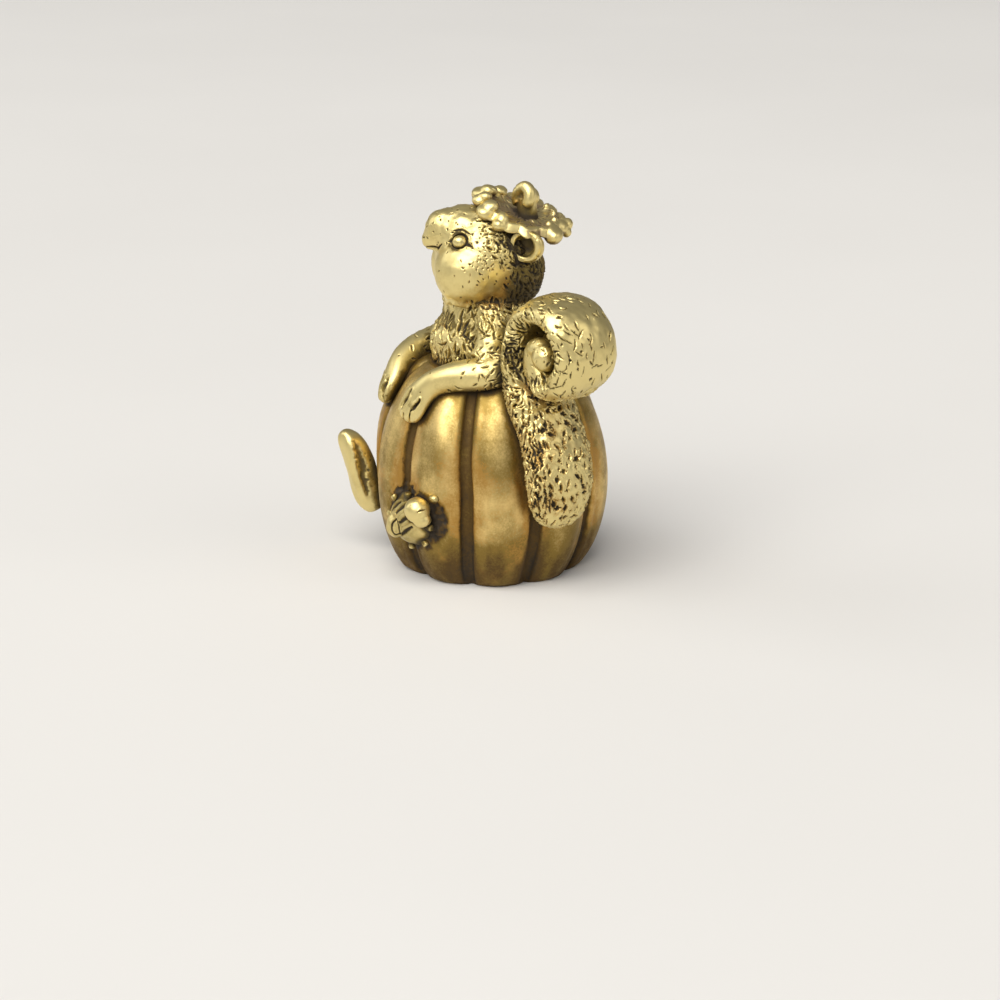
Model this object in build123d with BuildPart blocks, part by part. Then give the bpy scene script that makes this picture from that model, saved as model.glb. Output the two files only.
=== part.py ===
from build123d import *

import os
from math import cos, degrees, radians, sin, sqrt

# A cast squirrel looks out of a ribbed pumpkin, with the pumpkin's lid for a hat.
# Millimetres, +Z up, origin at the centre of the flat base, the squirrel faces -Y and its left is +X.
# An azimuth is measured from the front, -Y, towards +X.

# Pumpkin
pumpkin_height = 19.6
pumpkin_radius = 11.0
rib_count = 10
rib_rise = 0.5
groove_width = 1.1
groove_depth = 0.5
# Height and crest radius of each level, from the base to the mouth
pumpkin_level_shares = (
    (0.0, 0.765),
    (0.09, 0.87),
    (0.25, 0.965),
    (0.45, 1.0),
    (0.66, 0.955),
    (0.84, 0.835),
    (0.96, 0.68),
    (1.0, 0.56),
)
socket_radius = 4.2
socket_depth = 5.0

# Torso and neck
torso_height = 8.0
torso_lean = 0.5
chest_half_width = 5.0
chest_half_depth = 5.1
neck_half_width = 3.8
neck_half_depth = 3.8
# Height of each level, and its size from the neck (0) to the chest (1)
torso_level_shares = (
    (0.0, 0.85),
    (0.28, 1.0),
    (0.5, 0.7),
    (0.7, 0.2),
    (1.0, 0.0),
)

# Head
head_radius = 4.75
head_rise = 9.9
head_forward = 0.4
cheek_radius = 3.3
cheek_spread = 1.9
cheek_forward = 1.75
cheek_drop = 1.0
brow_radius = 3.1
brow_forward = 1.9
brow_rise = 1.75
nape_radius = 4.2
nape_back = 1.15
nape_drop = 1.2

# Snout and nose
snout_radius = 1.8
snout_forward = 4.0
snout_rise = 2.4
nose_radius = 1.05
nose_forward = 0.95
nose_drop = 0.75

# Eyes
eye_radius = 0.6
eye_azimuth = 49.0
eye_elevation = 26.0
socket_margin = 0.28
socket_sink = 0.25

# Ears
ear_radius = 1.55
ear_wall = 0.45
ear_azimuth = 127.0
ear_elevation = 18.0
ear_opening_azimuth = 76.0
ear_stand = 0.85

# Arms
shoulder_rise = 3.4
shoulder_radius = 1.8
elbow_radius = 1.55
forearm_radius = 1.4
wrist_radius = 1.25
palm_half_width = 1.6
palm_half_thickness = 0.95
left_shoulder_azimuth = 96.0
left_elbow_azimuth = 84.0
left_palm_azimuth = 38.0
right_shoulder_azimuth = -66.0
right_elbow_azimuth = -54.0
right_palm_azimuth = -6.0
finger_count = 4
finger_length = 1.5
finger_slit_width = 0.22
finger_slit_depth = 1.1
# Turn from the elbow (0) to the palm (1) and height on the pumpkin, from the elbow to the finger tips
arm_level_shares = (
    (0.0, 0.99),
    (0.5, 0.975),
    (0.85, 0.93),
    (1.0, 0.87),
    (1.05, 0.82),
    (1.08, 0.785),
)

# Tail
tail_azimuth = 125.0
tail_side_step = 1.7
tail_foot_height = 6.7
tail_half_width = 3.5
tail_half_thickness = 1.75
# Rise from the foot (0) to the coil's centre (1) and size of each level of the brush
brush_level_shares = (
    (0.0, 0.34),
    (0.04, 0.68),
    (0.15, 0.97),
    (0.42, 1.02),
    (0.72, 1.0),
)
coil_rise = 3.6
coil_stand = 0.5
coil_radius = 4.95
coil_half_width = 3.5
coil_half_thickness = 1.4
bud_radius = 1.15
core_gap = 0.3
# Turn in degrees, radius and size of each section of the coil
coil_level_shares = (
    (180, 1.0, 1.0),
    (120, 1.0, 1.0),
    (60, 1.0, 1.0),
    (0, 1.0, 1.0),
    (-55, 0.98, 0.95),
    (-100, 0.88, 0.82),
    (-140, 0.5, 0.55),
    (-190, 0.26, 0.48),
    (-270, 0.13, 0.38),
)

# Lid worn as a hat
lid_radius = 4.5
lid_thickness = 0.9
lid_dish = 0.75
lid_floor = 0.5
lobe_count = 11
lobe_depth = 0.5
lid_tilt_back = 15.0
lid_tilt_side = 11.0
lid_side_step = 0.5
lid_back = 3.2
lid_rise = 3.65

# Stem of the lid
stem_radius = 1.15
stem_neck_radius = 0.85
stem_end_radius = 1.1
stem_height = 3.45
stem_hook = 0.3
stem_hook_azimuth = 50.0
stem_side_step = 0.3
scoop_radius = 0.65
scoop_drop = 0.5

# Ladybird on the pumpkin's side
bug_azimuth = 41.0
bug_height = 6.3
bug_radius = 2.4
bug_rise = 1.4
bug_head_radius = 1.2
bug_head_step = 2.7
bug_head_rise = 0.8
bug_heading = 42.0
leg_count = 6
leg_radius = 0.33
leg_reach = 0.45

# Curled tendril on the pumpkin's front
tendril_azimuth = -17.0
tendril_foot_height = 4.5
tendril_height = 7.0
tendril_half_width = 1.15
tendril_half_thickness = 1.35
tendril_flare = 2.6
# Height, stand-off and size of each section
tendril_level_shares = (
    (-0.06, 0.12, 0.5),
    (0.08, 0.22, 0.95),
    (0.5, 0.43, 1.0),
    (0.87, 0.86, 0.85),
    (1.02, 1.26, 0.35),
)


def around(azimuth, radius, height):
    """A point at an azimuth from the front, at a radius from the axis and at a height."""
    return Vector(radius * sin(radians(azimuth)), -radius * cos(radians(azimuth)), height)


def crest_radius(height):
    """The pumpkin's crest radius at a height, between the levels of its table."""
    share = min(max(height / pumpkin_height, 0), 1)
    for low, high in zip(pumpkin_level_shares, pumpkin_level_shares[1:]):
        if share <= high[0]:
            part = (share - low[0]) / (high[0] - low[0])
            return pumpkin_radius * (low[1] + part * (high[1] - low[1]))
    return pumpkin_radius * pumpkin_level_shares[-1][1]


def pumpkin_plane(azimuth, height, lift=0):
    """A plane lying on the pumpkin's skin: X runs round it, Y runs up it and Z points out of it."""
    step = pumpkin_height / rib_count
    below = around(azimuth, crest_radius(height - step), max(height - step, 0))
    above = around(azimuth, crest_radius(height + step), min(height + step, pumpkin_height))
    round_it = Vector(cos(radians(azimuth)), sin(radians(azimuth)), 0)
    out = round_it.cross((above - below).normalized())
    skin = around(azimuth, crest_radius(height), height)
    return Plane(origin=skin + out * lift, x_dir=round_it, z_dir=out)


def lofted(planes, half_sizes):
    """A solid through ovals: one for each plane, with its half width along X and half height along Y."""
    sections = []
    for plane, (half_width, half_height) in zip(planes, half_sizes):
        with BuildSketch(plane) as section:
            Ellipse(half_width, half_height)
        sections.append(section.sketch)
    with BuildPart() as body:
        loft(sections=sections)
    return body.part


def path_planes(points, sides):
    """Planes square to a path at its points, with X as near as can be to each point's side direction."""
    planes = []
    for index, (point, side) in enumerate(zip(points, sides)):
        before = points[max(index - 1, 0)]
        after = points[min(index + 1, len(points) - 1)]
        along = (after - before).normalized()
        across = (side - along * side.dot(along)).normalized()
        planes.append(Plane(origin=point, x_dir=across, z_dir=along))
    return planes


def pumpkin_section(height_share, radius_share):
    """One level of the pumpkin: bulging ribs with a V groove between neighbours."""
    crest = pumpkin_radius * radius_share
    edge = crest - rib_rise * radius_share
    bottom = edge - groove_depth * radius_share
    half_groove = degrees(groove_width / 2 / pumpkin_radius)
    sector = 360 / rib_count
    with BuildSketch(Plane.XY.offset(pumpkin_height * height_share)) as section:
        with BuildLine():
            for rib in range(rib_count):
                start = rib * sector
                groove_start = around(start - half_groove, edge, 0)
                groove_end = around(start + half_groove, edge, 0)
                next_groove = around(start + sector - half_groove, edge, 0)
                Line(groove_start, around(start, bottom, 0))
                Line(around(start, bottom, 0), groove_end)
                ThreePointArc(groove_end, around(start + sector / 2, crest, 0), next_groove)
        make_face()
    return section.sketch


os.makedirs("parts", exist_ok=True)

# Pumpkin: ribs and grooves lofted through its levels, with the round mouth that the torso stands in
with BuildPart() as pumpkin:
    loft(sections=[pumpkin_section(*level) for level in pumpkin_level_shares])
    with BuildSketch(Plane.XY.offset(pumpkin_height)):
        Circle(socket_radius)
    extrude(amount=-socket_depth, mode=Mode.SUBTRACT)

# Head: a ball with full cheeks, a brow, a nape and a round socket for each eye
head_centre = Vector(0, -head_forward, pumpkin_height + head_rise)
head_balls = [
    (head_centre, head_radius),
    (head_centre + Vector(cheek_spread, -cheek_forward, -cheek_drop), cheek_radius),
    (head_centre + Vector(-cheek_spread, -cheek_forward, -cheek_drop), cheek_radius),
    (head_centre + Vector(0, -brow_forward, brow_rise), brow_radius),
    (head_centre + Vector(0, nape_back, -nape_drop), nape_radius),
]


def head_plane(azimuth, elevation, lift=0):
    """A plane on the head's skin at an azimuth from the front and an elevation, with Z out of the skin."""
    out = around(azimuth, cos(radians(elevation)), sin(radians(elevation)))
    reaches = []
    for centre, radius in head_balls:
        offset = centre - head_centre
        along = offset.dot(out)
        room = radius**2 - offset.dot(offset) + along**2
        if room > 0:
            reaches.append(along + sqrt(room))
    return Plane(origin=head_centre + out * (max(reaches) + lift), z_dir=out)


with BuildPart() as head_form:
    for centre, radius in head_balls:
        with Locations(centre):
            Sphere(radius)
eye_planes = [head_plane(side * eye_azimuth, eye_elevation, -socket_sink) for side in (1, -1)]
with BuildPart() as head:
    add(head_form.part)
    with Locations(*eye_planes):
        Cylinder(
            eye_radius + socket_margin,
            2 * eye_radius,
            align=(Align.CENTER, Align.CENTER, Align.MIN),
            mode=Mode.SUBTRACT,
        )

# Eyes: beads seated on the floors of their sockets
eyes = []
for plane in eye_planes:
    with BuildPart(plane) as eye:
        Sphere(eye_radius)
        split(bisect_by=plane, keep=Keep.TOP)
    eyes.append(eye)

# Snout with a blunt nose
snout_centre = head_centre + Vector(0, -snout_forward, snout_rise)
with BuildPart() as snout:
    with Locations(snout_centre):
        Sphere(snout_radius)
    with Locations(snout_centre + Vector(0, -nose_forward, -nose_drop)):
        Sphere(nose_radius)
    add(head_form.part, mode=Mode.SUBTRACT)

# Torso: oval levels from the pumpkin's mouth to the neck, hollowed at the top to carry the head
torso_planes = []
torso_sizes = []
for height_share, chest_share in torso_level_shares:
    torso_planes.append(Plane(origin=(0, -torso_lean, pumpkin_height + torso_height * height_share)))
    torso_sizes.append((
        neck_half_width + chest_share * (chest_half_width - neck_half_width),
        neck_half_depth + chest_share * (chest_half_depth - neck_half_depth),
    ))
torso_form = lofted(torso_planes, torso_sizes)
with BuildPart() as torso:
    add(torso_form)
    with BuildSketch(Plane.XY.offset(pumpkin_height)):
        Circle(socket_radius)
    extrude(amount=-socket_depth)
    add(head_form.part, mode=Mode.SUBTRACT)


def arm(shoulder, elbow, palm):
    """An arm over the pumpkin's rim, by the azimuths of its shoulder, elbow and palm."""
    half_sizes = (
        (elbow_radius, elbow_radius),
        (forearm_radius, forearm_radius),
        (wrist_radius, wrist_radius),
        (palm_half_width, palm_half_thickness),
        (0.95 * palm_half_width, 0.8 * palm_half_thickness),
        (0.4 * palm_half_width, 0.35 * palm_half_thickness),
    )
    chest_height = pumpkin_height + shoulder_rise
    points = [
        around(shoulder, 0.6 * chest_half_width, chest_height),
        around(shoulder, 0.95 * chest_half_width, chest_height - 0.8 * shoulder_radius),
    ]
    outs = [around(shoulder, 1, 0)] * 2
    sizes = [(shoulder_radius, shoulder_radius)] * 2
    for (turn_share, height_share), (half_width, half_thickness) in zip(arm_level_shares, half_sizes):
        skin = pumpkin_plane(elbow + turn_share * (palm - elbow), pumpkin_height * height_share)
        points.append(skin.origin + skin.z_dir * 0.7 * half_thickness)
        outs.append(skin.z_dir)
        sizes.append((half_width, half_thickness))
    sides = []
    for index, out in enumerate(outs):
        along = points[min(index + 1, len(points) - 1)] - points[max(index - 1, 0)]
        sides.append(along.cross(out).normalized())
    planes = path_planes(points, sides)
    form = lofted(planes, sizes)
    along = (points[-1] - points[-3]).normalized()
    palm_up = (outs[-3] - along * along.dot(outs[-3])).normalized()
    slit_origin = points[-1] + palm_up * palm_half_thickness
    slit_plane = Plane(origin=slit_origin, x_dir=along.cross(palm_up), z_dir=palm_up)
    with BuildPart() as body:
        add(form)
        with BuildSketch(slit_plane):
            with GridLocations(2 * palm_half_width / finger_count, 0, finger_count - 1, 1):
                Rectangle(finger_slit_width, 2 * finger_length)
        extrude(amount=-finger_slit_depth, mode=Mode.SUBTRACT)
        add(pumpkin.part, mode=Mode.SUBTRACT)
        add(torso_form, mode=Mode.SUBTRACT)
    return body


# Arms: from the shoulder over the pumpkin's rim to a paw that hangs down its front
left_arm = arm(left_shoulder_azimuth, left_elbow_azimuth, left_palm_azimuth)
right_arm = arm(right_shoulder_azimuth, right_elbow_azimuth, right_palm_azimuth)

# Tail: a broad brush up the pumpkin's side that rolls outwards into a coil with a bud at its centre
tail_side = Vector(cos(radians(tail_azimuth)), sin(radians(tail_azimuth)), 0)


def tail_point(reach, height):
    """A point of the tail's own upright plane, at a reach from the pumpkin's axis."""
    return around(tail_azimuth, reach, height) - tail_side * tail_side_step


coil_height = pumpkin_height + coil_rise
coil_reach = pumpkin_radius + coil_stand
tail_points = []
tail_sizes = []
for rise_share, size_share in brush_level_shares:
    height = tail_foot_height + rise_share * (coil_height - tail_foot_height)
    reach = crest_radius(height) + tail_half_thickness / 2
    tail_points.append(tail_point(reach, height))
    tail_sizes.append((tail_half_width * size_share, tail_half_thickness * size_share))
band_radius = coil_radius - coil_half_thickness
for turn, radius_share, size_share in coil_level_shares:
    reach = coil_reach + band_radius * radius_share * cos(radians(turn))
    height = coil_height + band_radius * radius_share * sin(radians(turn))
    tail_points.append(tail_point(reach, height))
    tail_sizes.append((coil_half_width * size_share, coil_half_thickness * size_share))
tail_form = lofted(path_planes(tail_points, [tail_side] * len(tail_points)), tail_sizes)
coil_centre = tail_point(coil_reach, coil_height)
core_radius = band_radius - coil_half_thickness - core_gap
with BuildPart() as tail:
    add(tail_form)
    with Locations(coil_centre):
        Sphere(core_radius)
    with Locations(coil_centre - tail_side * core_radius, coil_centre + tail_side * core_radius):
        Sphere(bud_radius)
    add(pumpkin.part, mode=Mode.SUBTRACT)
    add(torso.part, mode=Mode.SUBTRACT)
    add(left_arm.part, mode=Mode.SUBTRACT)

# Lid: a dished, lobed cap, set back on the head
lid_up = Vector(sin(radians(lid_tilt_side)), sin(radians(lid_tilt_back)), 1)
lid_plane = Plane(origin=head_centre + Vector(lid_side_step, lid_back, lid_rise), x_dir=(1, 0, 0), z_dir=lid_up)


def lobed_section(radius, height):
    """An outline of round lobes at a height above the lid's plane."""
    sector = 360 / lobe_count
    with BuildSketch(lid_plane.offset(height)) as section:
        with BuildLine():
            for lobe in range(lobe_count):
                ThreePointArc(
                    around((lobe - 0.5) * sector, radius * (1 - lobe_depth / lid_radius), 0),
                    around(lobe * sector, radius, 0),
                    around((lobe + 0.5) * sector, radius * (1 - lobe_depth / lid_radius), 0),
                )
        make_face()
    return section.sketch


lid_rim = lid_dish + 0.4 * lid_thickness
with BuildPart() as lid:
    loft(
        sections=[
            lobed_section(0.45 * lid_radius, -lid_thickness),
            lobed_section(lid_radius, lid_dish - 0.2 * lid_thickness),
            lobed_section(0.88 * lid_radius, lid_rim),
        ],
        ruled=True,
    )
    with BuildSketch(Plane(origin=lid_plane.origin, x_dir=lid_plane.x_dir, z_dir=-lid_plane.y_dir)):
        with BuildLine():
            dish = ThreePointArc(
                (0, lid_floor),
                (0.45 * lid_radius, lid_floor + 0.2 * (lid_rim - lid_floor)),
                (0.8 * lid_radius, lid_rim),
            )
            Line(dish @ 1, (0, lid_rim))
            Line((0, lid_rim), (0, lid_floor))
        make_face()
    revolve(axis=Axis(lid_plane.origin, lid_plane.z_dir), mode=Mode.SUBTRACT)
    add(head_form.part, mode=Mode.SUBTRACT)

# Stem of the lid: a tapered stub with a ball end, scooped hollow towards the front and the left
hook_way = lid_plane.x_dir * sin(radians(stem_hook_azimuth)) - lid_plane.y_dir * cos(radians(stem_hook_azimuth))
stem_foot = lid_plane.origin + lid_plane.x_dir * stem_side_step
stem_end = stem_foot + lid_plane.z_dir * (stem_height - stem_end_radius) + hook_way * stem_hook
stem_way = (stem_end - stem_foot).normalized()
with BuildPart() as lid_stem:
    with BuildSketch(Plane(origin=stem_foot - stem_way * lid_thickness / 2, z_dir=stem_way)):
        Circle(stem_radius)
    with BuildSketch(Plane(origin=stem_end, z_dir=stem_way)):
        Circle(stem_neck_radius)
    loft()
    with Locations(stem_end):
        Sphere(stem_end_radius)
    with Locations(stem_end + hook_way * stem_end_radius - lid_plane.z_dir * scoop_drop):
        Sphere(scoop_radius, mode=Mode.SUBTRACT)
    add(lid.part, mode=Mode.SUBTRACT)
    add(head_form.part, mode=Mode.SUBTRACT)

# Ears: small round cups on the back of the head, open to the side, the left one under the lid's rim
ear_centre = head_plane(ear_azimuth, ear_elevation, ear_stand).origin
ear_out = around(ear_opening_azimuth, 1, 0)
with BuildPart() as ear_cup:
    with Locations(ear_centre):
        Sphere(ear_radius)
        Sphere(ear_radius - ear_wall, mode=Mode.SUBTRACT)
    split(bisect_by=Plane(origin=ear_centre, z_dir=ear_out), keep=Keep.BOTTOM)
    add(head_form.part, mode=Mode.SUBTRACT)
with BuildPart() as left_ear:
    add(ear_cup.part)
    add(lid.part, mode=Mode.SUBTRACT)
with BuildPart() as right_ear:
    add(mirror(ear_cup.part, about=Plane.YZ, mode=Mode.PRIVATE))

# Ladybird: a domed wing case, a round head and six stub legs
bug_skin = pumpkin_plane(bug_azimuth, bug_height)
dome_radius = (bug_radius**2 + bug_rise**2) / (2 * bug_rise)
with BuildPart() as ladybird_shell:
    with Locations(bug_skin.origin + bug_skin.z_dir * (bug_rise - dome_radius)):
        Sphere(dome_radius)
    add(pumpkin.part, mode=Mode.SUBTRACT)
bug_ahead = bug_skin.x_dir * cos(radians(bug_heading)) + bug_skin.y_dir * sin(radians(bug_heading))
with BuildPart() as ladybird_head:
    with Locations(bug_skin.origin + bug_ahead * bug_head_step + bug_skin.z_dir * bug_head_rise):
        Sphere(bug_head_radius)
    add(ladybird_shell.part, mode=Mode.SUBTRACT)
    add(pumpkin.part, mode=Mode.SUBTRACT)
with BuildPart() as ladybird_legs:
    for leg in range(leg_count):
        turn = bug_heading + (leg % 3 + 1) * 45 + (leg // 3) * 180
        way = bug_skin.x_dir * cos(radians(turn)) + bug_skin.y_dir * sin(radians(turn))
        with Locations(Plane(origin=bug_skin.origin + way * bug_radius / 2, z_dir=way)):
            Cylinder(leg_radius, bug_radius / 2 + leg_reach, align=(Align.CENTER, Align.CENTER, Align.MIN))
    add(ladybird_shell.part, mode=Mode.SUBTRACT)
    add(ladybird_head.part, mode=Mode.SUBTRACT)
    add(pumpkin.part, mode=Mode.SUBTRACT)

# Tendril: a curled horn on the pumpkin's front, its tip turned up and out
tendril_points = []
tendril_sizes = []
for height_share, flare_share, size_share in tendril_level_shares:
    height = tendril_foot_height + tendril_height * height_share
    reach = crest_radius(height) + tendril_half_thickness / 2 + tendril_flare * flare_share
    tendril_points.append(around(tendril_azimuth, reach, height))
    tendril_sizes.append((tendril_half_width * size_share, tendril_half_thickness * size_share))
tendril_side = around(tendril_azimuth + 90, 1, 0)
tendril_form = lofted(path_planes(tendril_points, [tendril_side] * len(tendril_points)), tendril_sizes)
with BuildPart() as tendril:
    add(tendril_form)
    add(pumpkin.part, mode=Mode.SUBTRACT)

nodes = {
    "pumpkin": pumpkin,
    "torso": torso,
    "head": head,
    "snout": snout,
    "left_eye": eyes[0],
    "right_eye": eyes[1],
    "left_ear": left_ear,
    "right_ear": right_ear,
    "left_arm": left_arm,
    "right_arm": right_arm,
    "tail": tail,
    "lid": lid,
    "lid_stem": lid_stem,
    "ladybird_shell": ladybird_shell,
    "ladybird_head": ladybird_head,
    "ladybird_legs": ladybird_legs,
    "tendril": tendril,
}
for name, node in nodes.items():
    node.part.label = name
    export_step(node.part, "parts/" + name + ".step")
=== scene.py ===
"""Looks of the cast brass squirrel that peers out of a pumpkin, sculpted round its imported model.

Forms are worked in millimetres, as wax is before casting, and stored in metres.
+Z is up, the squirrel faces -Y and its left side is +X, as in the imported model.
"""

import logging
import math
from dataclasses import dataclass, field
from enum import Enum
from typing import Any, Callable, Dict, List, Sequence, Tuple

import bmesh
import bpy
import numpy as np
from mathutils import Matrix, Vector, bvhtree, kdtree
from mathutils import Vector as Point


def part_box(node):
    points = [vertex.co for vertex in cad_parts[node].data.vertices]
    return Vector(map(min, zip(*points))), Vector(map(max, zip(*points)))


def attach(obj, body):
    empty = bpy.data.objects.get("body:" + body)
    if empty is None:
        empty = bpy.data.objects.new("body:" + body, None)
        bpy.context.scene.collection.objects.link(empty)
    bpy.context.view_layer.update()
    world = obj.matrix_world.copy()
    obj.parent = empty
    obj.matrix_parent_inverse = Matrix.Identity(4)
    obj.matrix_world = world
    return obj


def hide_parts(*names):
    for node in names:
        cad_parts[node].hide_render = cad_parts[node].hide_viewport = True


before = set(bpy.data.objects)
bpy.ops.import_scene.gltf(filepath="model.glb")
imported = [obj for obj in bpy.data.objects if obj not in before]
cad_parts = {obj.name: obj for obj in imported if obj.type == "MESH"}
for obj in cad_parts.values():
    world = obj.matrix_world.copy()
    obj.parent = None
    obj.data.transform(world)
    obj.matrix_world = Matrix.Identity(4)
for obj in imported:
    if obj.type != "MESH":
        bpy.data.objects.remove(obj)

LOG = logging.getLogger("squirrel")
MM = 0.001
BODY = "root"

Array = np.ndarray
Field = Callable[[Array], Array]
Range = Tuple[float, float]
Spot = Tuple[float, float, float]
Path = Tuple[Spot, ...]
UP = np.array([0, 0, 1.0])
HASH = np.array([73856093, 19349663, 83492791])

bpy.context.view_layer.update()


# Small maths


def unit(vectors: Array) -> Array:
    """Vectors scaled to length one."""
    return vectors / (np.linalg.norm(vectors, axis=-1, keepdims=True) + 1e-12)


def smooth_step(values: Array, low: float, high: float) -> Array:
    """Rises smoothly from 0 at low to 1 at high."""
    share = np.clip((values - low) / (high - low), 0.0, 1.0)
    return share * share * (3.0 - 2.0 * share)


def smooth_fall(values: Array, low: float, high: float) -> Array:
    """Falls smoothly from 1 at low to 0 at high."""
    return smooth_step(-values, -high, -low)


def bell(values: Array, middle: float, width: float) -> Array:
    """1 at the middle, fading out over a width on both sides."""
    return np.exp(-(((values - middle) / width) ** 2))


def flatten(offsets: Array, axis: Array) -> Array:
    """The offsets laid square to an axis."""
    return offsets - np.outer(offsets @ axis, axis)


def around(azimuth: float, radius: float, height: float) -> Array:
    """A point at an azimuth from the front, at a radius from the axis and at a height."""
    turn = math.radians(azimuth)
    return np.array([radius * math.sin(turn), -radius * math.cos(turn), height])


def azimuths(points: Array) -> Array:
    """The azimuth of each point from the front, in degrees."""
    return np.degrees(np.arctan2(points[:, 0], -points[:, 1]))


def from_axis(points: Array) -> Array:
    """Distance of each point from the upright axis."""
    return np.hypot(points[:, 0], points[:, 1])


def grain(points: Array, size: float, seed: int) -> Array:
    """Smooth random values from -1 to 1 that change over a length.

    Args:
        points: places, one row each.
        size: length of one change.
        seed: picks the pattern.

    Returns:
        One value for each place.
    """
    place = points / size + 0.37 * seed
    cell = np.floor(place).astype(np.int64)
    share = place - cell
    share = share * share * (3.0 - 2.0 * share)
    total = np.zeros(len(points))
    for corner in np.ndindex(2, 2, 2):
        mixed = np.bitwise_xor.reduce((cell + np.array(corner)) * HASH, axis=1) ^ seed * 2654435
        mixed = (mixed ^ (mixed >> 13)) * 1274126177 & 0x7FFFFFFF
        mixed = (mixed ^ (mixed >> 15)) * 668265263 & 0x7FFFFFFF
        weight = np.prod(np.where(np.array(corner) == 1, share, 1.0 - share), axis=1)
        total += weight * ((mixed >> 8 & 0xFFFF) / 32767.5 - 1.0)
    return total


def search_tree(points: Array) -> kdtree.KDTree:
    """A tree that finds the nearest of the points.

    Args:
        points: places, one row each.

    Returns:
        The tree, which numbers them in their order.
    """
    tree = kdtree.KDTree(len(points))
    for index, point in enumerate(points.tolist()):
        tree.insert(point, index)
    tree.balance()
    return tree


def settled(shape: bmesh.types.BMesh, name: str) -> bpy.types.Mesh:
    """The mesh of a work shape, which is let go.

    Args:
        shape: the work shape.
        name: the mesh's name.

    Returns:
        The mesh.
    """
    mesh = bpy.data.meshes.new(name)
    shape.to_mesh(mesh)
    shape.free()
    return mesh


def placed(name: str, data: bpy.types.ID) -> bpy.types.Object:
    """A new object in the scene.

    Args:
        name: its name.
        data: its mesh, light or camera.

    Returns:
        The object.
    """
    made = bpy.data.objects.new(name, data)
    bpy.context.scene.collection.objects.link(made)
    return made


def aimed(name: str, data: bpy.types.ID, place: Point, way: Point) -> bpy.types.Object:
    """A new lamp or camera at a place in metres, turned to look a way.

    Args:
        name: its name.
        data: its light or camera.
        place: where it stands.
        way: the way it looks.

    Returns:
        The object.
    """
    made = placed(name, data)
    made.location = place
    made.rotation_mode = "QUATERNION"
    made.rotation_quaternion = way.to_track_quat("-Z", "Y")
    return made


def node_centre(node: str) -> Array:
    """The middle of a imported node's box, in millimetres."""
    low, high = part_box(node)
    return (np.array(low) + np.array(high)) / 2 / MM


# Lumps: rough closed forms that are pressed together before the skin is drawn over them


def node_lump(node: str) -> bpy.types.Mesh:
    """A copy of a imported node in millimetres.

    Args:
        node: the node's name.

    Returns:
        The copy, without materials.
    """
    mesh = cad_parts[node].data.copy()
    mesh.materials.clear()
    mesh.transform(Matrix.Diagonal((1 / MM, 1 / MM, 1 / MM, 1.0)))
    return mesh


def ball_lump(centre: Array, radii: Sequence[float], axes: Array = np.eye(3)) -> bpy.types.Mesh:
    """An egg-shaped lump.

    Args:
        centre: its middle.
        radii: its half lengths along its own axes.
        axes: its own axes, one row each.

    Returns:
        The lump's mesh.
    """
    shape = bmesh.new()
    bmesh.ops.create_icosphere(shape, subdivisions=4, radius=1.0)
    for vertex in shape.verts:
        vertex.co = Point(centre + (np.array(vertex.co) * np.array(radii)) @ axes)
    return settled(shape, "ball")


def rope_lump(path: Array, radii: Sequence[float]) -> bpy.types.Mesh:
    """A round rope of varying thickness along a path.

    Args:
        path: points, one row each.
        radii: the rope's radius at each point.

    Returns:
        The rope's mesh.
    """
    sides = 16
    along = unit(np.gradient(path, axis=0))
    across = unit(np.cross(along, np.where(np.abs(along[:, 2:3]) < 0.8, [[0, 0, 1.0]], [[1.0, 0, 0]])))
    rise = np.cross(across, along)
    points: List[Array] = []
    for spot, side, up, radius in zip(path, across, rise, radii):
        for turn in np.linspace(0, 2 * math.pi, sides, endpoint=False):
            points.append(spot + radius * (math.cos(turn) * side + math.sin(turn) * up))
    faces: List[Tuple[int, ...]] = []
    count = len(path)
    for ring in range(count - 1):
        low, high = ring * sides, (ring + 1) * sides
        for index in range(sides):
            after = (index + 1) % sides
            faces.append((low + index, low + after, high + after, high + index))
    faces.append(tuple(reversed(range(sides))))
    faces.append(tuple(range((count - 1) * sides, count * sides)))
    mesh = bpy.data.meshes.new("rope")
    mesh.from_pydata([tuple(point) for point in points], [], faces)
    return mesh


# Chisel strokes


class Strokes:
    """Chisel strokes, kept as samples along their paths."""

    def __init__(self) -> None:
        """Starts with no stroke."""
        self.spots: List[Array] = []
        self.ways: List[Array] = []
        self.halves: List[Array] = []
        self.depths: List[Array] = []

    def cut(self, path: Array, half_width: float, depth: float, blunt: float = 0.1) -> None:
        """Adds a stroke that thins towards both ends.

        Args:
            path: points along the stroke, one row each.
            half_width: half its width at the middle.
            depth: its depth at the middle.
            blunt: how little its ends thin.
        """
        share = np.linspace(0, 1, len(path))
        taper = np.sin(math.pi * (blunt + (1 - 2 * blunt) * share)) ** 0.7
        self.spots.append(path)
        self.ways.append(unit(np.gradient(path, axis=0)))
        self.halves.append(half_width * taper)
        self.depths.append(depth * taper)


@dataclass(frozen=True)
class Fur:
    """How a stretch of coat is engraved.

    Attributes:
        gap: least distance between the starts of two strokes.
        length: middle length of a stroke.
        half_width: half its width.
        depth: its depth.
        wander: how far its direction strays, from 0 to 1.
        seed: picks the pattern.
        lip: height of the burr beside a stroke, as a share of its depth.
        ink: how dark the strokes fill, from 0 to 1.
        ragged: how uneven their edges are, from 0 to 1.
    """

    gap: float
    length: float
    half_width: float
    depth: float
    wander: float
    seed: int
    lip: float
    ink: float
    ragged: float = 0.3


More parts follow.
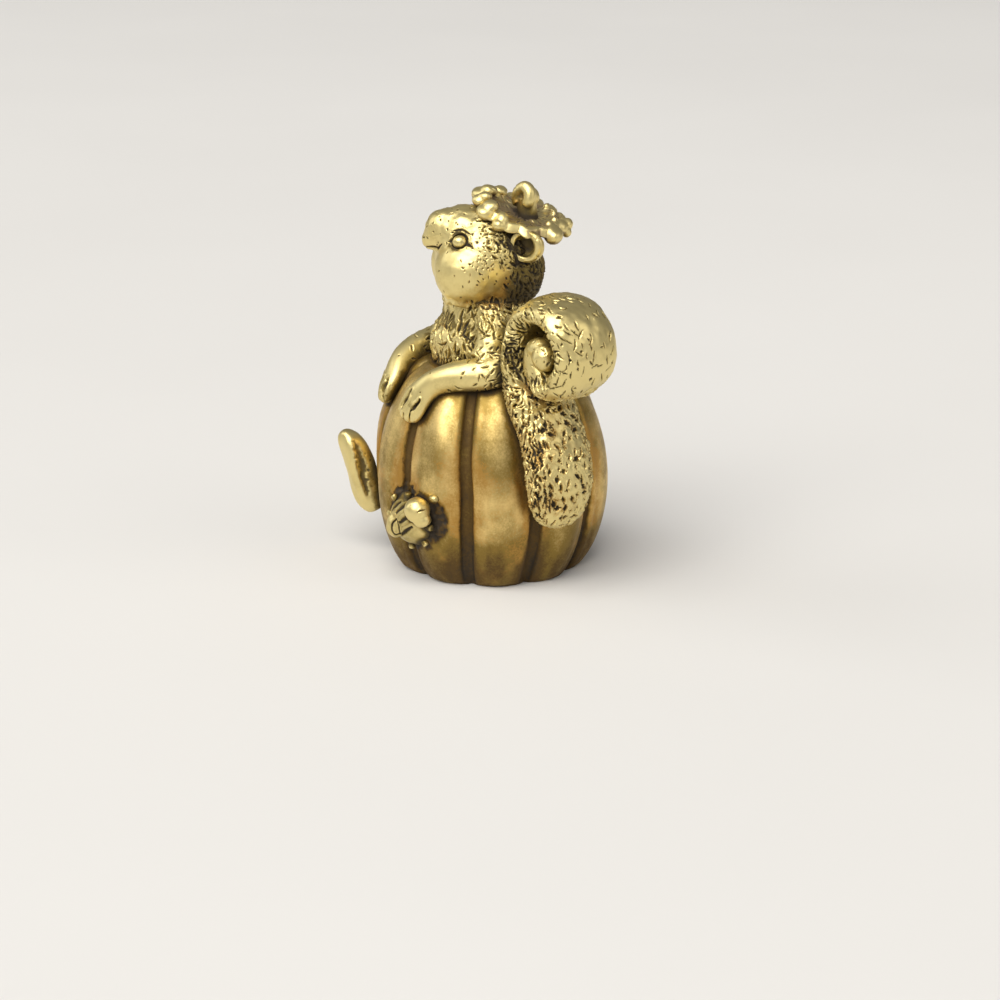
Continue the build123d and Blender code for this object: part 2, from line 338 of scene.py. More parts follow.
class Coat(Enum):
    """The stretches of fur and marks."""

    CHEST = Fur(0.5, 1.1, 0.115, 0.2, 0.4, 11, 0.5, 0.44)
    SLEEVE = Fur(0.5, 0.6, 0.09, 0.13, 0.45, 36, 0.35, 0.5, 0.5)
    NAPE = Fur(0.42, 0.6, 0.11, 0.18, 0.6, 12, 0.5, 0.55, 0.4)
    BROW = Fur(0.34, 0.2, 0.08, 0.1, 1.0, 13, 0.4, 0.85, 0.7)
    WHISKERS = Fur(0.46, 0.3, 0.065, 0.1, 0.3, 9, 0.2, 0.6)
    SPARSE = Fur(1.3, 0.2, 0.07, 0.09, 0.6, 14, 0.1, 0.9)
    BRUSH = Fur(0.72, 0.6, 0.17, 0.28, 0.8, 22, 0.35, 0.52, 0.6)
    FLANK = Fur(0.42, 0.8, 0.1, 0.2, 0.3, 26, 0.4, 0.55)
    BUD = Fur(0.55, 0.4, 0.08, 0.1, 1.0, 28, 0.2, 0.8)
    BAND = Fur(0.66, 0.8, 0.075, 0.12, 0.4, 23, 0.2, 0.62, 0.6)
    BAND_PITS = Fur(1.15, 0.4, 0.1, 0.17, 0.9, 38, 0.2, 0.9, 0.6)
    RIM = Fur(0.47, 1.0, 0.12, 0.24, 0.22, 24, 0.4, 0.8)
    SCRATCHES = Fur(0.6, 0.7, 0.09, 0.06, 0.6, 33, 0.3, 0.3)


# Where a stroke's floor and stain fade out and its burr stands, in half widths from its middle,
# and how deep, in millimetres, a fine and a broad hollow count as whole

FLOOR_FADE: Range = (0.1, 1.5)
STAIN_FADE: Range = (0.45, 1.4)
BURR_PLACE = 2.1
BURR_WIDTH = 0.7
EDGE_GRAIN = 0.22
FINE_HOLLOW = 0.012
BROAD_HOLLOW = 0.06
MOST_STARTS = 30000


class Wax:
    """A closed form in millimetres that is softened, pushed and engraved before it is cast."""

    def __init__(self, lumps: Sequence[bpy.types.Mesh], voxel: float) -> None:
        """Draws one skin over the lumps.

        Args:
            lumps: closed meshes, which may run into each other.
            voxel: the skin's grain.
        """
        shape = bmesh.new()
        for mesh in lumps:
            shape.from_mesh(mesh)
        holder = placed("wax", settled(shape, "lumps"))
        skin = holder.modifiers.new("skin", "REMESH")
        skin.mode = "VOXEL"
        skin.voxel_size = voxel
        graph = bpy.context.evaluated_depsgraph_get()
        mesh = bpy.data.meshes.new_from_object(holder.evaluated_get(graph))
        bpy.data.objects.remove(holder)
        count = len(mesh.vertices)
        points = np.empty(3 * count, np.float32)
        mesh.vertices.foreach_get("co", points)
        corners = np.empty(len(mesh.loops), np.int32)
        mesh.loops.foreach_get("vertex_index", corners)
        edges = np.empty(2 * len(mesh.edges), np.int32)
        mesh.edges.foreach_get("vertices", edges)
        self.points = points.reshape(-1, 3).astype(float)
        self.faces = corners.reshape(-1, 4)
        self.edges = edges.reshape(-1, 2)
        self.degree = np.bincount(self.edges.ravel(), minlength=count)
        self.ink = np.zeros(count)
        self.rust = np.zeros(count)
        self.normals = self._facing()
        bpy.data.meshes.remove(mesh)
        for rough in lumps:
            bpy.data.meshes.remove(rough)

    def _facing(self) -> Array:
        """The outward normal of each point.

        Returns:
            One unit vector for each point.
        """
        quad = self.points[self.faces]
        cross = np.cross(quad[:, 2] - quad[:, 0], quad[:, 3] - quad[:, 1])
        total = np.zeros_like(self.points)
        for corner in range(4):
            for axis in range(3):
                total[:, axis] += np.bincount(self.faces[:, corner], cross[:, axis], len(self.points))
        return unit(total)

    def spread(self, values: Array) -> Array:
        """The mean of each point's neighbours.

        Args:
            values: one row for each point.

        Returns:
            The means, in the same shape.
        """
        first, second = self.edges.T
        columns = values.reshape(len(values), -1)
        count = len(columns)
        sums = [
            np.bincount(first, column[second], count) + np.bincount(second, column[first], count)
            for column in columns.T
        ]
        return (np.stack(sums, axis=1) / self.degree[:, None]).reshape(values.shape)

    def soften(self, passes: int) -> "Wax":
        """Smooths the form without shrinking it.

        Args:
            passes: how often.

        Returns:
            The wax.
        """
        for _ in range(passes):
            for strength in (0.5, -0.52):
                self.points = self.points + strength * (self.spread(self.points) - self.points)
        self.normals = self._facing()
        return self

    def melt(self, passes: int, where: float | Array = 1.0) -> "Wax":
        """Smooths the form and lets its creases fill.

        Args:
            passes: how often.
            where: how far each point takes part, from 0 to 1.

        Returns:
            The wax.
        """
        share = 0.5 * np.broadcast_to(where, len(self.points))[:, None]
        for _ in range(passes):
            self.points = self.points + share * (self.spread(self.points) - self.points)
        self.normals = self._facing()
        return self

    def push(self, amount: Array) -> "Wax":
        """Moves each point out along its normal.

        Args:
            amount: how far each one moves.

        Returns:
            The wax.
        """
        self.points = self.points + self.normals * amount[:, None]
        self.normals = self._facing()
        return self

    def roughen(self, height: float | Array, size: float, seed: int) -> "Wax":
        """Pushes the skin in and out by a grain."""
        return self.push(height * grain(self.points, size, seed))

    def trace(self, corners: Sequence[Sequence[float]], step: float = 0.04) -> Array:
        """A path through given corners, laid on the form.

        Args:
            corners: points near the form.
            step: distance between the path's points.

        Returns:
            The path's points, one row each.
        """
        given = np.array(corners, float)
        length = np.concatenate([[0.0], np.cumsum(np.linalg.norm(np.diff(given, axis=0), axis=1))])
        places = np.linspace(0, length[-1], max(4, int(length[-1] / step)))
        path = np.stack([np.interp(places, length, column) for column in given.T], axis=1)
        tree = search_tree(self.points)
        path = np.array([tree.find(spot)[0] for spot in path.tolist()])
        for _ in range(4):
            path[1:-1] = (path[:-2] + 2 * path[1:-1] + path[2:]) / 4
        return path

    def engrave(self, strokes: Strokes, lip: float = 0.2, ink: float = 1.0, ragged: float = 0.3) -> "Wax":
        """Cuts the strokes into the form.

        Args:
            strokes: what to cut.
            lip: height of the burr beside a stroke, as a share of its depth.
            ink: how dark the strokes fill, from 0 to 1.
            ragged: how uneven their edges are, from 0 to 1.

        Returns:
            The wax.
        """
        spots = np.concatenate(strokes.spots)
        ways = np.concatenate(strokes.ways)
        halves = np.concatenate(strokes.halves)
        depths = np.concatenate(strokes.depths)
        tree = search_tree(spots)
        near = np.array([tree.find(point)[1] for point in self.points.tolist()])
        offset = self.points - spots[near]
        along = np.einsum("ij,ij->i", offset, ways[near])
        across = np.sqrt(np.maximum(np.einsum("ij,ij->i", offset, offset) - along**2, 0))
        distance = np.hypot(across, np.maximum(np.abs(along) - halves[near], 0)) / halves[near]
        distance *= 1 + ragged * grain(self.points, EDGE_GRAIN, 7)
        floor = smooth_fall(distance, *FLOOR_FADE)
        burr = bell(distance, BURR_PLACE, BURR_WIDTH)
        self.ink = np.maximum(self.ink, ink * smooth_fall(distance, *STAIN_FADE))
        return self.push(depths[near] * (lip * burr - floor))

    def groom(self, coat: Coat, where: Field, flow: Field) -> "Wax":
        """Engraves a coat where it lies, the way it runs."""
        fur = coat.value
        return self.engrave(self.comb(fur, where, flow), fur.lip, fur.ink, fur.ragged)

    def comb(self, fur: Fur, where: Field, flow: Field) -> Strokes:
        """Lays strokes over a stretch of the form.

        Args:
            fur: how the strokes look.
            where: how close together strokes lie at each place, from 0 to 1.
            flow: the way the strokes run at each place.

        Returns:
            The strokes.
        """
        chance = np.random.default_rng(fur.seed)
        share = where(self.points)
        likely = np.flatnonzero(share > 0.02 + 0.1 * chance.random(len(self.points)))
        chance.shuffle(likely)
        gaps = fur.gap / np.sqrt(np.clip(share, 0.2, 1.0))
        tree = search_tree(self.points)
        taken: Dict[Tuple[int, ...], List[Array]] = {}
        strokes = Strokes()
        steps = [(x, y, z) for x in (-1, 0, 1) for y in (-1, 0, 1) for z in (-1, 0, 1)]
        for index in likely[:MOST_STARTS]:
            start = self.points[index]
            cell = tuple(np.floor(start / (2.3 * fur.gap)).astype(int))
            crowd = [
                other for step in steps for other in taken.get(tuple(c + s for c, s in zip(cell, step)), [])
            ]
            if any(np.linalg.norm(start - other) < gaps[index] for other in crowd):
                continue
            taken.setdefault(cell, []).append(start)
            size = chance.uniform(0.6, 1.4)
            way = unit(flow(start[None])[0] + fur.wander * chance.normal(size=3))
            bend = chance.normal() * 0.18
            stride = 0.9 * fur.half_width
            path = [start]
            spot = start
            for _ in range(max(2, int(fur.length * size / stride))):
                nearest, number, _ = tree.find(spot + way * stride)
                facing = self.normals[number]
                spot = spot + way * stride
                spot = spot - facing * np.dot(spot - np.array(nearest), facing)
                way = unit(way - facing * np.dot(way, facing) + bend * 0.3 * np.cross(facing, way))
                path.append(spot)
            half_width = fur.half_width * chance.uniform(0.8, 1.25)
            strokes.cut(np.array(path), half_width, fur.depth * min(size, 1.1))
        return strokes

    def hollows(self) -> Array:
        """How far each point lies in a hollow, about -1 to 1, from fine to broad.

        Returns:
            One value for each point.
        """
        fine = broad = self.points
        for _ in range(3):
            fine = fine + 0.5 * (self.spread(fine) - fine)
        for _ in range(40):
            broad = broad + 0.5 * (self.spread(broad) - broad)
        near = np.einsum("ij,ij->i", fine - self.points, self.normals)
        far = np.einsum("ij,ij->i", broad - self.points, self.normals)
        return near / FINE_HOLLOW * 0.5 + far / BROAD_HOLLOW * 0.5


# Shadow: how much of the sky each place misses


class Shade:
    """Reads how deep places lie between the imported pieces."""

    def __init__(self, rays: int = 26, reach: float = 5.0, lift: float = 0.3) -> None:
        """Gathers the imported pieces.

        Args:
            rays: directions tried at each place.
            reach: how far away a piece still darkens.
            lift: how far off the skin the rays start.
        """
        self.tree = self.surface(())
        turn = np.arange(rays) * math.pi * (3 - math.sqrt(5))
        height = 1 - (np.arange(rays) + 0.5) / rays
        flat = np.sqrt(1 - height**2)
        self.rays = np.stack([np.cos(turn) * flat, np.sin(turn) * flat, height], 1)
        self.reach = reach
        self.lift = lift

    @staticmethod
    def surface(left_out: Sequence[str]) -> bvhtree.BVHTree:
        """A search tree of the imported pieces' faces, some of them left out.

        Args:
            left_out: the nodes that are left out.

        Returns:
            The tree, in millimetres.
        """
        points: List[Tuple[float, ...]] = []
        faces: List[Tuple[int, ...]] = []
        for name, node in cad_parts.items():
            if name in left_out:
                continue
            start = len(points)
            points += [tuple(vertex.co / MM) for vertex in node.data.vertices]
            faces += [tuple(start + corner for corner in face.vertices) for face in node.data.polygons]
        return bvhtree.BVHTree.FromPolygons(points, faces)

    def contact(self, wax: Wax, own: Sequence[str], reach: float = 0.75) -> Array:
        """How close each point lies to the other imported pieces.

        Args:
            wax: the form.
            own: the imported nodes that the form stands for.
            reach: distance at which a piece stops to count.

        Returns:
            1 where they touch, 0 beyond the reach.
        """
        tree = self.surface(own)
        gaps = [tree.find_nearest(Point(point), reach)[3] for point in wax.points.tolist()]
        return np.array([0.0 if gap is None else 1.0 - gap / reach for gap in gaps])

    def over(self, wax: Wax, cell: float = 0.55) -> Array:
        """The share of sky that each point of the wax misses, from 0 to 1.

        Args:
            wax: the form.
            cell: width of the cells that share one reading.

        Returns:
            One value for each point.
        """
        keys = np.floor(wax.points / cell).astype(np.int64)
        _, firsts = np.unique(keys @ np.array([1, 4096, 4096**2]), return_index=True)
        dark = np.empty(len(firsts))
        for count, index in enumerate(firsts):
            normal = wax.normals[index]
            side = unit(np.cross(normal, [0.3, 0.5, 0.8]))
            basis = np.stack([side, np.cross(normal, side), normal])
            start = Point(wax.points[index] + normal * self.lift)
            lost = 0.0
            for ray in (self.rays @ basis).tolist():
                hit = self.tree.ray_cast(start, Point(ray), self.reach)
                if hit[3] is not None:
                    lost += 1.0 - hit[3] / self.reach
            dark[count] = lost / len(self.rays)
        tree = search_tree(wax.points[firsts])
        value = np.empty(len(wax.points))
        for row, point in enumerate(wax.points.tolist()):
            found = tree.find_n(point, 4)
            weights = [1.0 / (item[2] + 0.05) for item in found]
            value[row] = sum(w * dark[item[1]] for w, item in zip(weights, found)) / sum(weights)
        return value


# Shader maths


class Value:
    """A shader socket that takes part in Python arithmetic."""

    def __init__(self, graph: "Graph", socket: bpy.types.NodeSocket) -> None:
        """Keeps the socket and the graph that it is in."""
        self.graph = graph
        self.socket = socket

    def _maths(self, operation: str, first: Any, second: Any) -> "Value":
        """One Math node."""
        return self.graph.node("ShaderNodeMath", {"operation": operation}, {0: first, 1: second})

    def __add__(self, other: Any) -> "Value":
        """self + other."""
        return self._maths("ADD", self, other)

    def __radd__(self, other: Any) -> "Value":
        """other + self."""
        return self._maths("ADD", other, self)

    def __sub__(self, other: Any) -> "Value":
        """self - other."""
        return self._maths("SUBTRACT", self, other)

    def __rsub__(self, other: Any) -> "Value":
        """other - self."""
        return self._maths("SUBTRACT", other, self)

    def __mul__(self, other: Any) -> "Value":
        """self * other."""
        return self._maths("MULTIPLY", self, other)

    def __rmul__(self, other: Any) -> "Value":
        """other * self."""
        return self._maths("MULTIPLY", other, self)

    def rise(self, low: float, high: float) -> "Value":
        """Rises smoothly from 0 at low to 1 at high."""
        inputs = {"Value": self, "From Min": low, "From Max": high}
        return self.graph.node("ShaderNodeMapRange", {"interpolation_type": "SMOOTHSTEP"}, inputs)


class Graph:
    """The nodes of one material."""

    def __init__(self, name: str) -> None:
        """Starts an empty material.

        Args:
            name: the material's name.
        """
        self.material = bpy.data.materials.new(name)
        self.material.use_nodes = True
        self.tree = self.material.node_tree
        self.tree.nodes.clear()

    def node(self, kind: str, settings: Dict[str, Any], inputs: Dict[Any, Any], output: Any = 0) -> Value:
        """Adds a node.

        Args:
            kind: the node's type.
            settings: its own settings, set first.
            inputs: values or links of its sockets.
            output: the socket that is handed back.

        Returns:
            The chosen output.
        """
        made = self.tree.nodes.new(kind)
        for key, setting in settings.items():
            setattr(made, key, setting)
        for key, given in inputs.items():
            if isinstance(given, Value):
                self.tree.links.new(given.socket, made.inputs[key])
            else:
                made.inputs[key].default_value = given
        return Value(self, made.outputs[output] if len(made.outputs) else None)

    def mix(self, share: Any, first: Any, second: Any) -> Value:
        """A colour between two colours."""
        return self.node("ShaderNodeMix", {"data_type": "RGBA"}, {0: share, 6: first, 7: second}, 2)

    def noise(self, place: Value, per_metre: float, detail: float, rough: float = 0.55) -> Value:
        """Cloudy noise about 0.5."""
        inputs = {"Vector": place, "Scale": per_metre, "Detail": detail, "Roughness": rough}
        return self.node("ShaderNodeTexNoise", {"noise_dimensions": "3D"}, inputs, 0)


Colour = Tuple[float, float, float, float]


@dataclass(frozen=True)
class AgedBrass:
    """Brass that is rubbed bright on its high places and dark with tarnish in its hollows, and darkened by
    the painted shade that its per-point darkness carries.

    Attributes:
        name: the finish's name.
        bright: the rubbed metal.
        olive: the film on sheltered metal.
        rust: the film where it has turned warm.
        brown: the film in shallow hollows, and middling painted shade.
        black: the crust in the deepest places, and the darkest painted shade.
        shine: roughness of the rubbed metal.
        dull: roughness of the crust.
        film: how much of the metal has the olive film, from 0 to 1.
        speckle: how strongly fine specks break up the film.
        specks: changes per metre of the specks.
        mottle: changes per metre of the mottle.
        cloud: changes per metre of the film.
        drift: changes per metre of the rust.
        filmed: patina at which the film starts and is whole.
        rusted: the same for the rust.
        browned: the same for the brown.
        crusted: the same for the crust.
        bump: strength and height in metres of the finest grain.
    """

    name: str
    bright: Colour = (0.80, 0.66, 0.29, 1.0)
    olive: Colour = (0.255, 0.185, 0.050, 1.0)
    rust: Colour = (0.52, 0.285, 0.068, 1.0)
    brown: Colour = (0.118, 0.088, 0.033, 1.0)
    black: Colour = (0.036, 0.025, 0.013, 1.0)
    shine: float = 0.40
    dull: float = 0.62
    film: float = 0.3
    speckle: float = 0.5
    specks: float = 5200.0
    mottle: float = 1500.0
    cloud: float = 240.0
    drift: float = 330.0
    filmed: Range = (0.12, 0.72)
    rusted: Range = (0.56, 0.78)
    browned: Range = (0.34, 0.66)
    crusted: Range = (0.62, 1.0)
    bump: Range = (0.2, 0.00007)

    def make(self) -> bpy.types.Material:
        """The finish as a material.

        Returns:
            The material.
        """
        graph = Graph(self.name)
        place = graph.node("ShaderNodeTexCoord", {}, {}, "Object")
        patina_and_shade = graph.node("ShaderNodeAttribute", {"attribute_name": "patina_and_shade"}, {}, "Fac")
        warmth = graph.node("ShaderNodeAttribute", {"attribute_name": "rust"}, {}, "Fac")
        specks = graph.noise(place, self.specks, 4.0, 0.65)
        mottle = graph.noise(place, self.mottle, 4.0)
        cloud = graph.noise(place, self.cloud, 2.0)
        drift = graph.noise(place, self.drift, 3.0)
        # The per-point darkness carries painted shade as well as tarnish, and so do the film, brown and
        # crust drawn from it.
        worn_and_shaded = patina_and_shade + self.speckle * 0.55 * (specks - 0.5) + 0.25 * (mottle - 0.5)
        filmed = (worn_and_shaded + 0.9 * (cloud - 0.5) + self.film).rise(*self.filmed)
        rusted = (drift + 0.9 * (specks - 0.5) + 0.5 * warmth).rise(*self.rusted)
        browned = worn_and_shaded.rise(*self.browned)
        crusted = worn_and_shaded.rise(*self.crusted)
        film = graph.mix(0.75 * rusted, self.olive, self.rust)
        colour = graph.mix(filmed, self.bright, film)
        colour = graph.mix(browned, colour, self.brown)
        colour = graph.mix(crusted, colour, self.black)
        rough = self.shine + 0.08 * filmed + (self.dull - self.shine) * browned + 0.14 * (mottle - 0.5)
        metal = 1.0 - 0.4 * browned - 0.3 * crusted
        height = specks * 0.35 + mottle * 0.65
        bump = {"Strength": self.bump[0], "Distance": self.bump[1], "Height": height}
        normal = graph.node("ShaderNodeBump", {}, bump)
        inputs = {"Base Color": colour, "Roughness": rough, "Metallic": metal, "Normal": normal}
        surface = graph.node("ShaderNodeBsdfPrincipled", {}, inputs)
        graph.node("ShaderNodeOutputMaterial", {}, {"Surface": surface})
        return graph.material


class Finish(Enum):
    """The finishes of the casting's stretches."""

    COAT = AgedBrass("coat_brass", film=0.16, shine=0.43)
    RIBS = AgedBrass(
        "rib_brass",
        bright=(0.85, 0.63, 0.25, 1.0),
        olive=(0.265, 0.178, 0.045, 1.0),
        brown=(0.118, 0.067, 0.015, 1.0),
        film=0.42,
        speckle=0.8,
    )
    TAIL = AgedBrass("tail_brass", film=0.14)
    DISH = AgedBrass(
        "dish_brass", olive=(0.36, 0.27, 0.14, 1.0), brown=(0.19, 0.135, 0.075, 1.0), film=0.08
    )
    BEAD = AgedBrass("bead_brass", film=0.2, shine=0.40, speckle=0.35)


# How strongly each cause darkens the metal: strokes and hollows as stains, sheltered places and contacts as
# painted shade

STROKE_STAIN = 0.56
HOLLOW_STAIN = 0.24
SHELTER_SHADE = 0.55
CONTACT_SHADE = 0.55


# Casting: wax becomes pieces of the object


class Foundry:
    """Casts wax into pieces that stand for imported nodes."""

    def __init__(self) -> None:
        """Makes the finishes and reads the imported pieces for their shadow."""
        self.finishes = {finish: finish.value.make() for finish in Finish}
        self.shade = Shade()

    def age(self, wax: Wax, own: Sequence[str], shadow: float = 1.0) -> Array:
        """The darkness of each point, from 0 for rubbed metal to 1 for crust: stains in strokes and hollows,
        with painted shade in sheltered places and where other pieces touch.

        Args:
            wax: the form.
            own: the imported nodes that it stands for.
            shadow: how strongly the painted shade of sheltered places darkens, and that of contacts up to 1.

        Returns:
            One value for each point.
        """
        # Painted shade: sheltered places and places near other pieces are darkened in the colour.
        sheltered = smooth_step(self.shade.over(wax), 0.1, 0.55) * shadow
        hollow = wax.hollows()
        tone = STROKE_STAIN * wax.ink + HOLLOW_STAIN * np.clip(hollow, -0.8, 1.4) + SHELTER_SHADE * sheltered
        tone += CONTACT_SHADE * smooth_step(self.shade.contact(wax, own), 0.1, 1.0) * min(shadow, 1.0)
        return np.clip(tone, 0.0, 1.0)

    def pour(self, name: str, wax: Wax, patina_and_shade: Array) -> bpy.types.Mesh:
        """A mesh of the wax in metres, with its per-point darkness of tarnish and painted shade.

        Args:
            name: the mesh's name.
            wax: the form.
            patina_and_shade: one value for each point.

        Returns:
            The mesh.
        """
        mesh = bpy.data.meshes.new(name)
        mesh.vertices.add(len(wax.points))
        mesh.vertices.foreach_set("co", (wax.points * MM).astype(np.float32).ravel())
        mesh.loops.add(wax.faces.size)
        mesh.loops.foreach_set("vertex_index", wax.faces.ravel())
        mesh.polygons.add(len(wax.faces))
        mesh.polygons.foreach_set("loop_start", np.arange(0, wax.faces.size, 4, dtype=np.int32))
        mesh.update(calc_edges=True)
        for layer_name, values in (("patina_and_shade", patina_and_shade), ("rust", wax.rust)):
            layer = mesh.attributes.new(layer_name, "FLOAT", "POINT")
            layer.data.foreach_set("value", values.astype(np.float32))
        return mesh

    def cast(self, node: str, wax: Wax, tone: Array, finish: Finish) -> None:
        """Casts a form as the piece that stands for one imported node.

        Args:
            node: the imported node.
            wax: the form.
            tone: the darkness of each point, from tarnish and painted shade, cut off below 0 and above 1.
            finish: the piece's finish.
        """
        name = f"{node}_casting"
        self.piece(name, self.pour(name, wax, np.clip(tone, 0, 1)), finish, [node])

    def piece(self, name: str, mesh: bpy.types.Mesh, finish: Finish, nodes: Sequence[str]) -> None:
        """Sets a mesh in place as a piece of the object.

        Args:
            name: the piece's name.
            mesh: its mesh in metres.
            finish: its finish.
            nodes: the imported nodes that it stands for.
        """
        mesh.polygons.foreach_set("use_smooth", np.ones(len(mesh.polygons), bool))
        mesh.materials.clear()
        mesh.materials.append(self.finishes[finish])
        made = placed(name, mesh)
        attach(made, BODY)
        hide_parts(*nodes)
        LOG.info("%s: %d points, stands for %s", name, len(mesh.vertices), ", ".join(nodes))


@dataclass(frozen=True)
class Cut:
    """A flat saw cut through a casting.

    Attributes:
        spot: a point on the cut, in millimetres.
        facing: the side that is kept.
    """

    spot: Spot
    facing: Spot

    def flipped(self) -> "Cut":
        """The same cut with the other side kept."""
        return Cut(self.spot, tuple(-share for share in self.facing))


def sawn(mesh: bpy.types.Mesh, cuts: Sequence[Cut]) -> bpy.types.Mesh:
    """Saws a closed mesh.

    Args:
        mesh: the whole casting.
        cuts: the cuts.

    Returns:
        The stretch that every cut keeps, closed again with flat faces.
    """
    shape = bmesh.new()
    shape.from_mesh(mesh)
    for cut in cuts:
        parts = list(shape.verts) + list(shape.edges) + list(shape.faces)
        found = bmesh.ops.bisect_plane(
            shape,
            geom=parts,
            dist=1e-9,
            plane_co=Point(cut.spot) * MM,
            plane_no=Point(cut.facing),
            clear_inner=True,
        )
        rim = [part for part in found["geom_cut"] if isinstance(part, bmesh.types.BMEdge)]
        bmesh.ops.triangle_fill(shape, use_beauty=True, edges=rim)
        for edge in rim:
            edge.smooth = False
    bmesh.ops.recalc_face_normals(shape, faces=list(shape.faces))
    return settled(shape, mesh.name)


# The sub-assemblies


@dataclass
class Pumpkin:
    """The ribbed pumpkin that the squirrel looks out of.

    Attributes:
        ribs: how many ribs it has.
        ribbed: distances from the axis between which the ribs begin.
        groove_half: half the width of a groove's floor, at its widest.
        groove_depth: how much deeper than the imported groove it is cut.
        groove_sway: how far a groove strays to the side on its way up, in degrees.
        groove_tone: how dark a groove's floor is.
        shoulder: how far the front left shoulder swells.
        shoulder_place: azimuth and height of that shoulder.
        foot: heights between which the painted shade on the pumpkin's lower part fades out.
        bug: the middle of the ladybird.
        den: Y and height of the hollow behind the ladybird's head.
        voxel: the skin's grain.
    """

    foundry: Foundry
    ribs: int = 10
    ribbed: Range = (6.5, 8.0)
    groove_half: float = 0.38
    groove_depth: float = 0.25
    groove_sway: float = 1.6
    groove_tone: float = 0.62
    shoulder: float = 0.3
    shoulder_place: Range = (-18.0, 14.5)
    foot: Range = (1.5, 9.0)
    bug: Array = field(default_factory=lambda: node_centre("ladybird_shell"))
    den: Range = (-5.85, 6.7)
    voxel: float = 0.13

    def off_groove(self, points: Array) -> Array:
        """Distance round the skin from each point to the nearest groove.

        Args:
            points: places, one row each.

        Returns:
            One value for each place.
        """
        sector = 360 / self.ribs
        turn = azimuths(points) + self.groove_sway * grain(points * UP, 4.0, 2)
        away = np.abs(turn - sector * np.round(turn / sector))
        return np.radians(away) * from_axis(points)

    def flank(self, points: Array) -> Array:
        """How far each point lies on the ribbed side, from 0 to 1."""
        return smooth_step(from_axis(points), *self.ribbed)

    def half_groove(self, points: Array) -> Array:
        """Half the width of a groove's floor at each point, less towards the top."""
        return self.groove_half * (0.72 + 0.28 * smooth_fall(points[:, 2], 9.0, 17.5))

    def build(self) -> Wax:
        """The pumpkin's form.

        Returns:
            Its wax.
        """
        wax = Wax([node_lump("pumpkin")], self.voxel).soften(5)
        side = self.flank(wax.points) * smooth_step(wax.points[:, 2], 0.05, 0.5)
        away = self.off_groove(wax.points)
        wax.melt(14, side * smooth_fall(away, 1.0, 1.7))
        channel = smooth_step(self.half_groove(wax.points) - away, -0.3, 0.05)
        wax.push(side * 0.12 * smooth_step(away, 0.9, 2.6))
        waves = 0.08 * grain(wax.points * np.array([1, 1, 0.35]), 2.6, 3)
        wax.push(side * (0.07 * bell(away, 0.95, 0.3) - self.groove_depth * channel + waves))
        turn, height = self.shoulder_place
        swell = bell(azimuths(wax.points), turn, 22) * bell(wax.points[:, 2], height, 3.2)
        wax.push(self.shoulder * swell)
        self.pit(wax)
        wax.points[:, 2] = np.maximum(wax.points[:, 2], 0.0)
        return wax

    def hollow(self, points: Array) -> Array:
        """How far each point lies in the pitted hollow behind the ladybird's head, which is darkened with
        painted shade.
        """
        gap = np.hypot(points[:, 1] - self.den[0], 0.5 * (points[:, 2] - self.den[1]))
        return smooth_fall(gap + 0.15 * grain(points, 0.6, 11), 0.7, 1.25) * (points[:, 0] > 0)

    def pit(self, wax: Wax) -> None:
        """Roughens the skin round the ladybird and pits it behind the ladybird's head.

        Args:
            wax: the pumpkin's form.
        """
        offset = wax.points - self.bug
        lean = smooth_step(offset[:, 1] + offset[:, 2], -2.4, 1.2)
        near = lean * smooth_fall(np.linalg.norm(offset, axis=1), 3.0, 3.9)
        rough = np.maximum(near, self.hollow(wax.points))
        bumps = grain(wax.points, 0.42, 5) + 0.5 * grain(wax.points, 0.25, 6)
        wax.push(0.18 * rough * bumps - 0.3 * self.hollow(wax.points))
        wax.ink = np.maximum(wax.ink, 0.5 * rough * smooth_fall(bumps, -0.9, 0.3))

    def dress(self, wax: Wax) -> None:
        """Casts the pumpkin.

        Args:
            wax: its form.
        """
        points = wax.points
        side, away = self.flank(points), self.off_groove(points)
        # low is painted shade on the lower part, as if lit from above; it darkens the tone and the groove
        # floors below.
        low = smooth_fall(points[:, 2], *self.foot)
        tone = self.foundry.age(wax, ["pumpkin"], 0.8)
        # Painted shade round the ladybird and in the hollow behind its head, over the rough pits.
        beside = np.linalg.norm(points - self.bug - np.array([0, 0.8, 0.6]), axis=1)
        tone += 0.12 * smooth_fall(beside, 2.6, 3.6) + 0.6 * self.hollow(points)
        tone += 0.16 * grain(points * np.array([1, 1, 0.2]), 0.9, 30)
        tone += side * 0.26 * np.exp(-np.maximum(away - 0.5, 0) / 0.8) + 0.5 * low**1.3
        speck = 0.13 * grain(points, 0.5, 12) + 0.1 * grain(points, 0.3, 13)
        channel = side * smooth_step(self.half_groove(points) - away + speck, -0.42, 0.06)
        floor = self.groove_tone + 0.22 * low + 0.1 * grain(points, 1.4, 4)
        tone = tone * (1 - channel) + channel * floor
        edge = np.exp(-np.maximum(away - 0.8, 0) / 0.9) * smooth_step(away, 0.4, 0.8)
        wax.rust = 1.6 * side * edge * bell(points[:, 2], 10.0, 4.0)
        self.foundry.cast("pumpkin", wax, tone, Finish.RIBS)


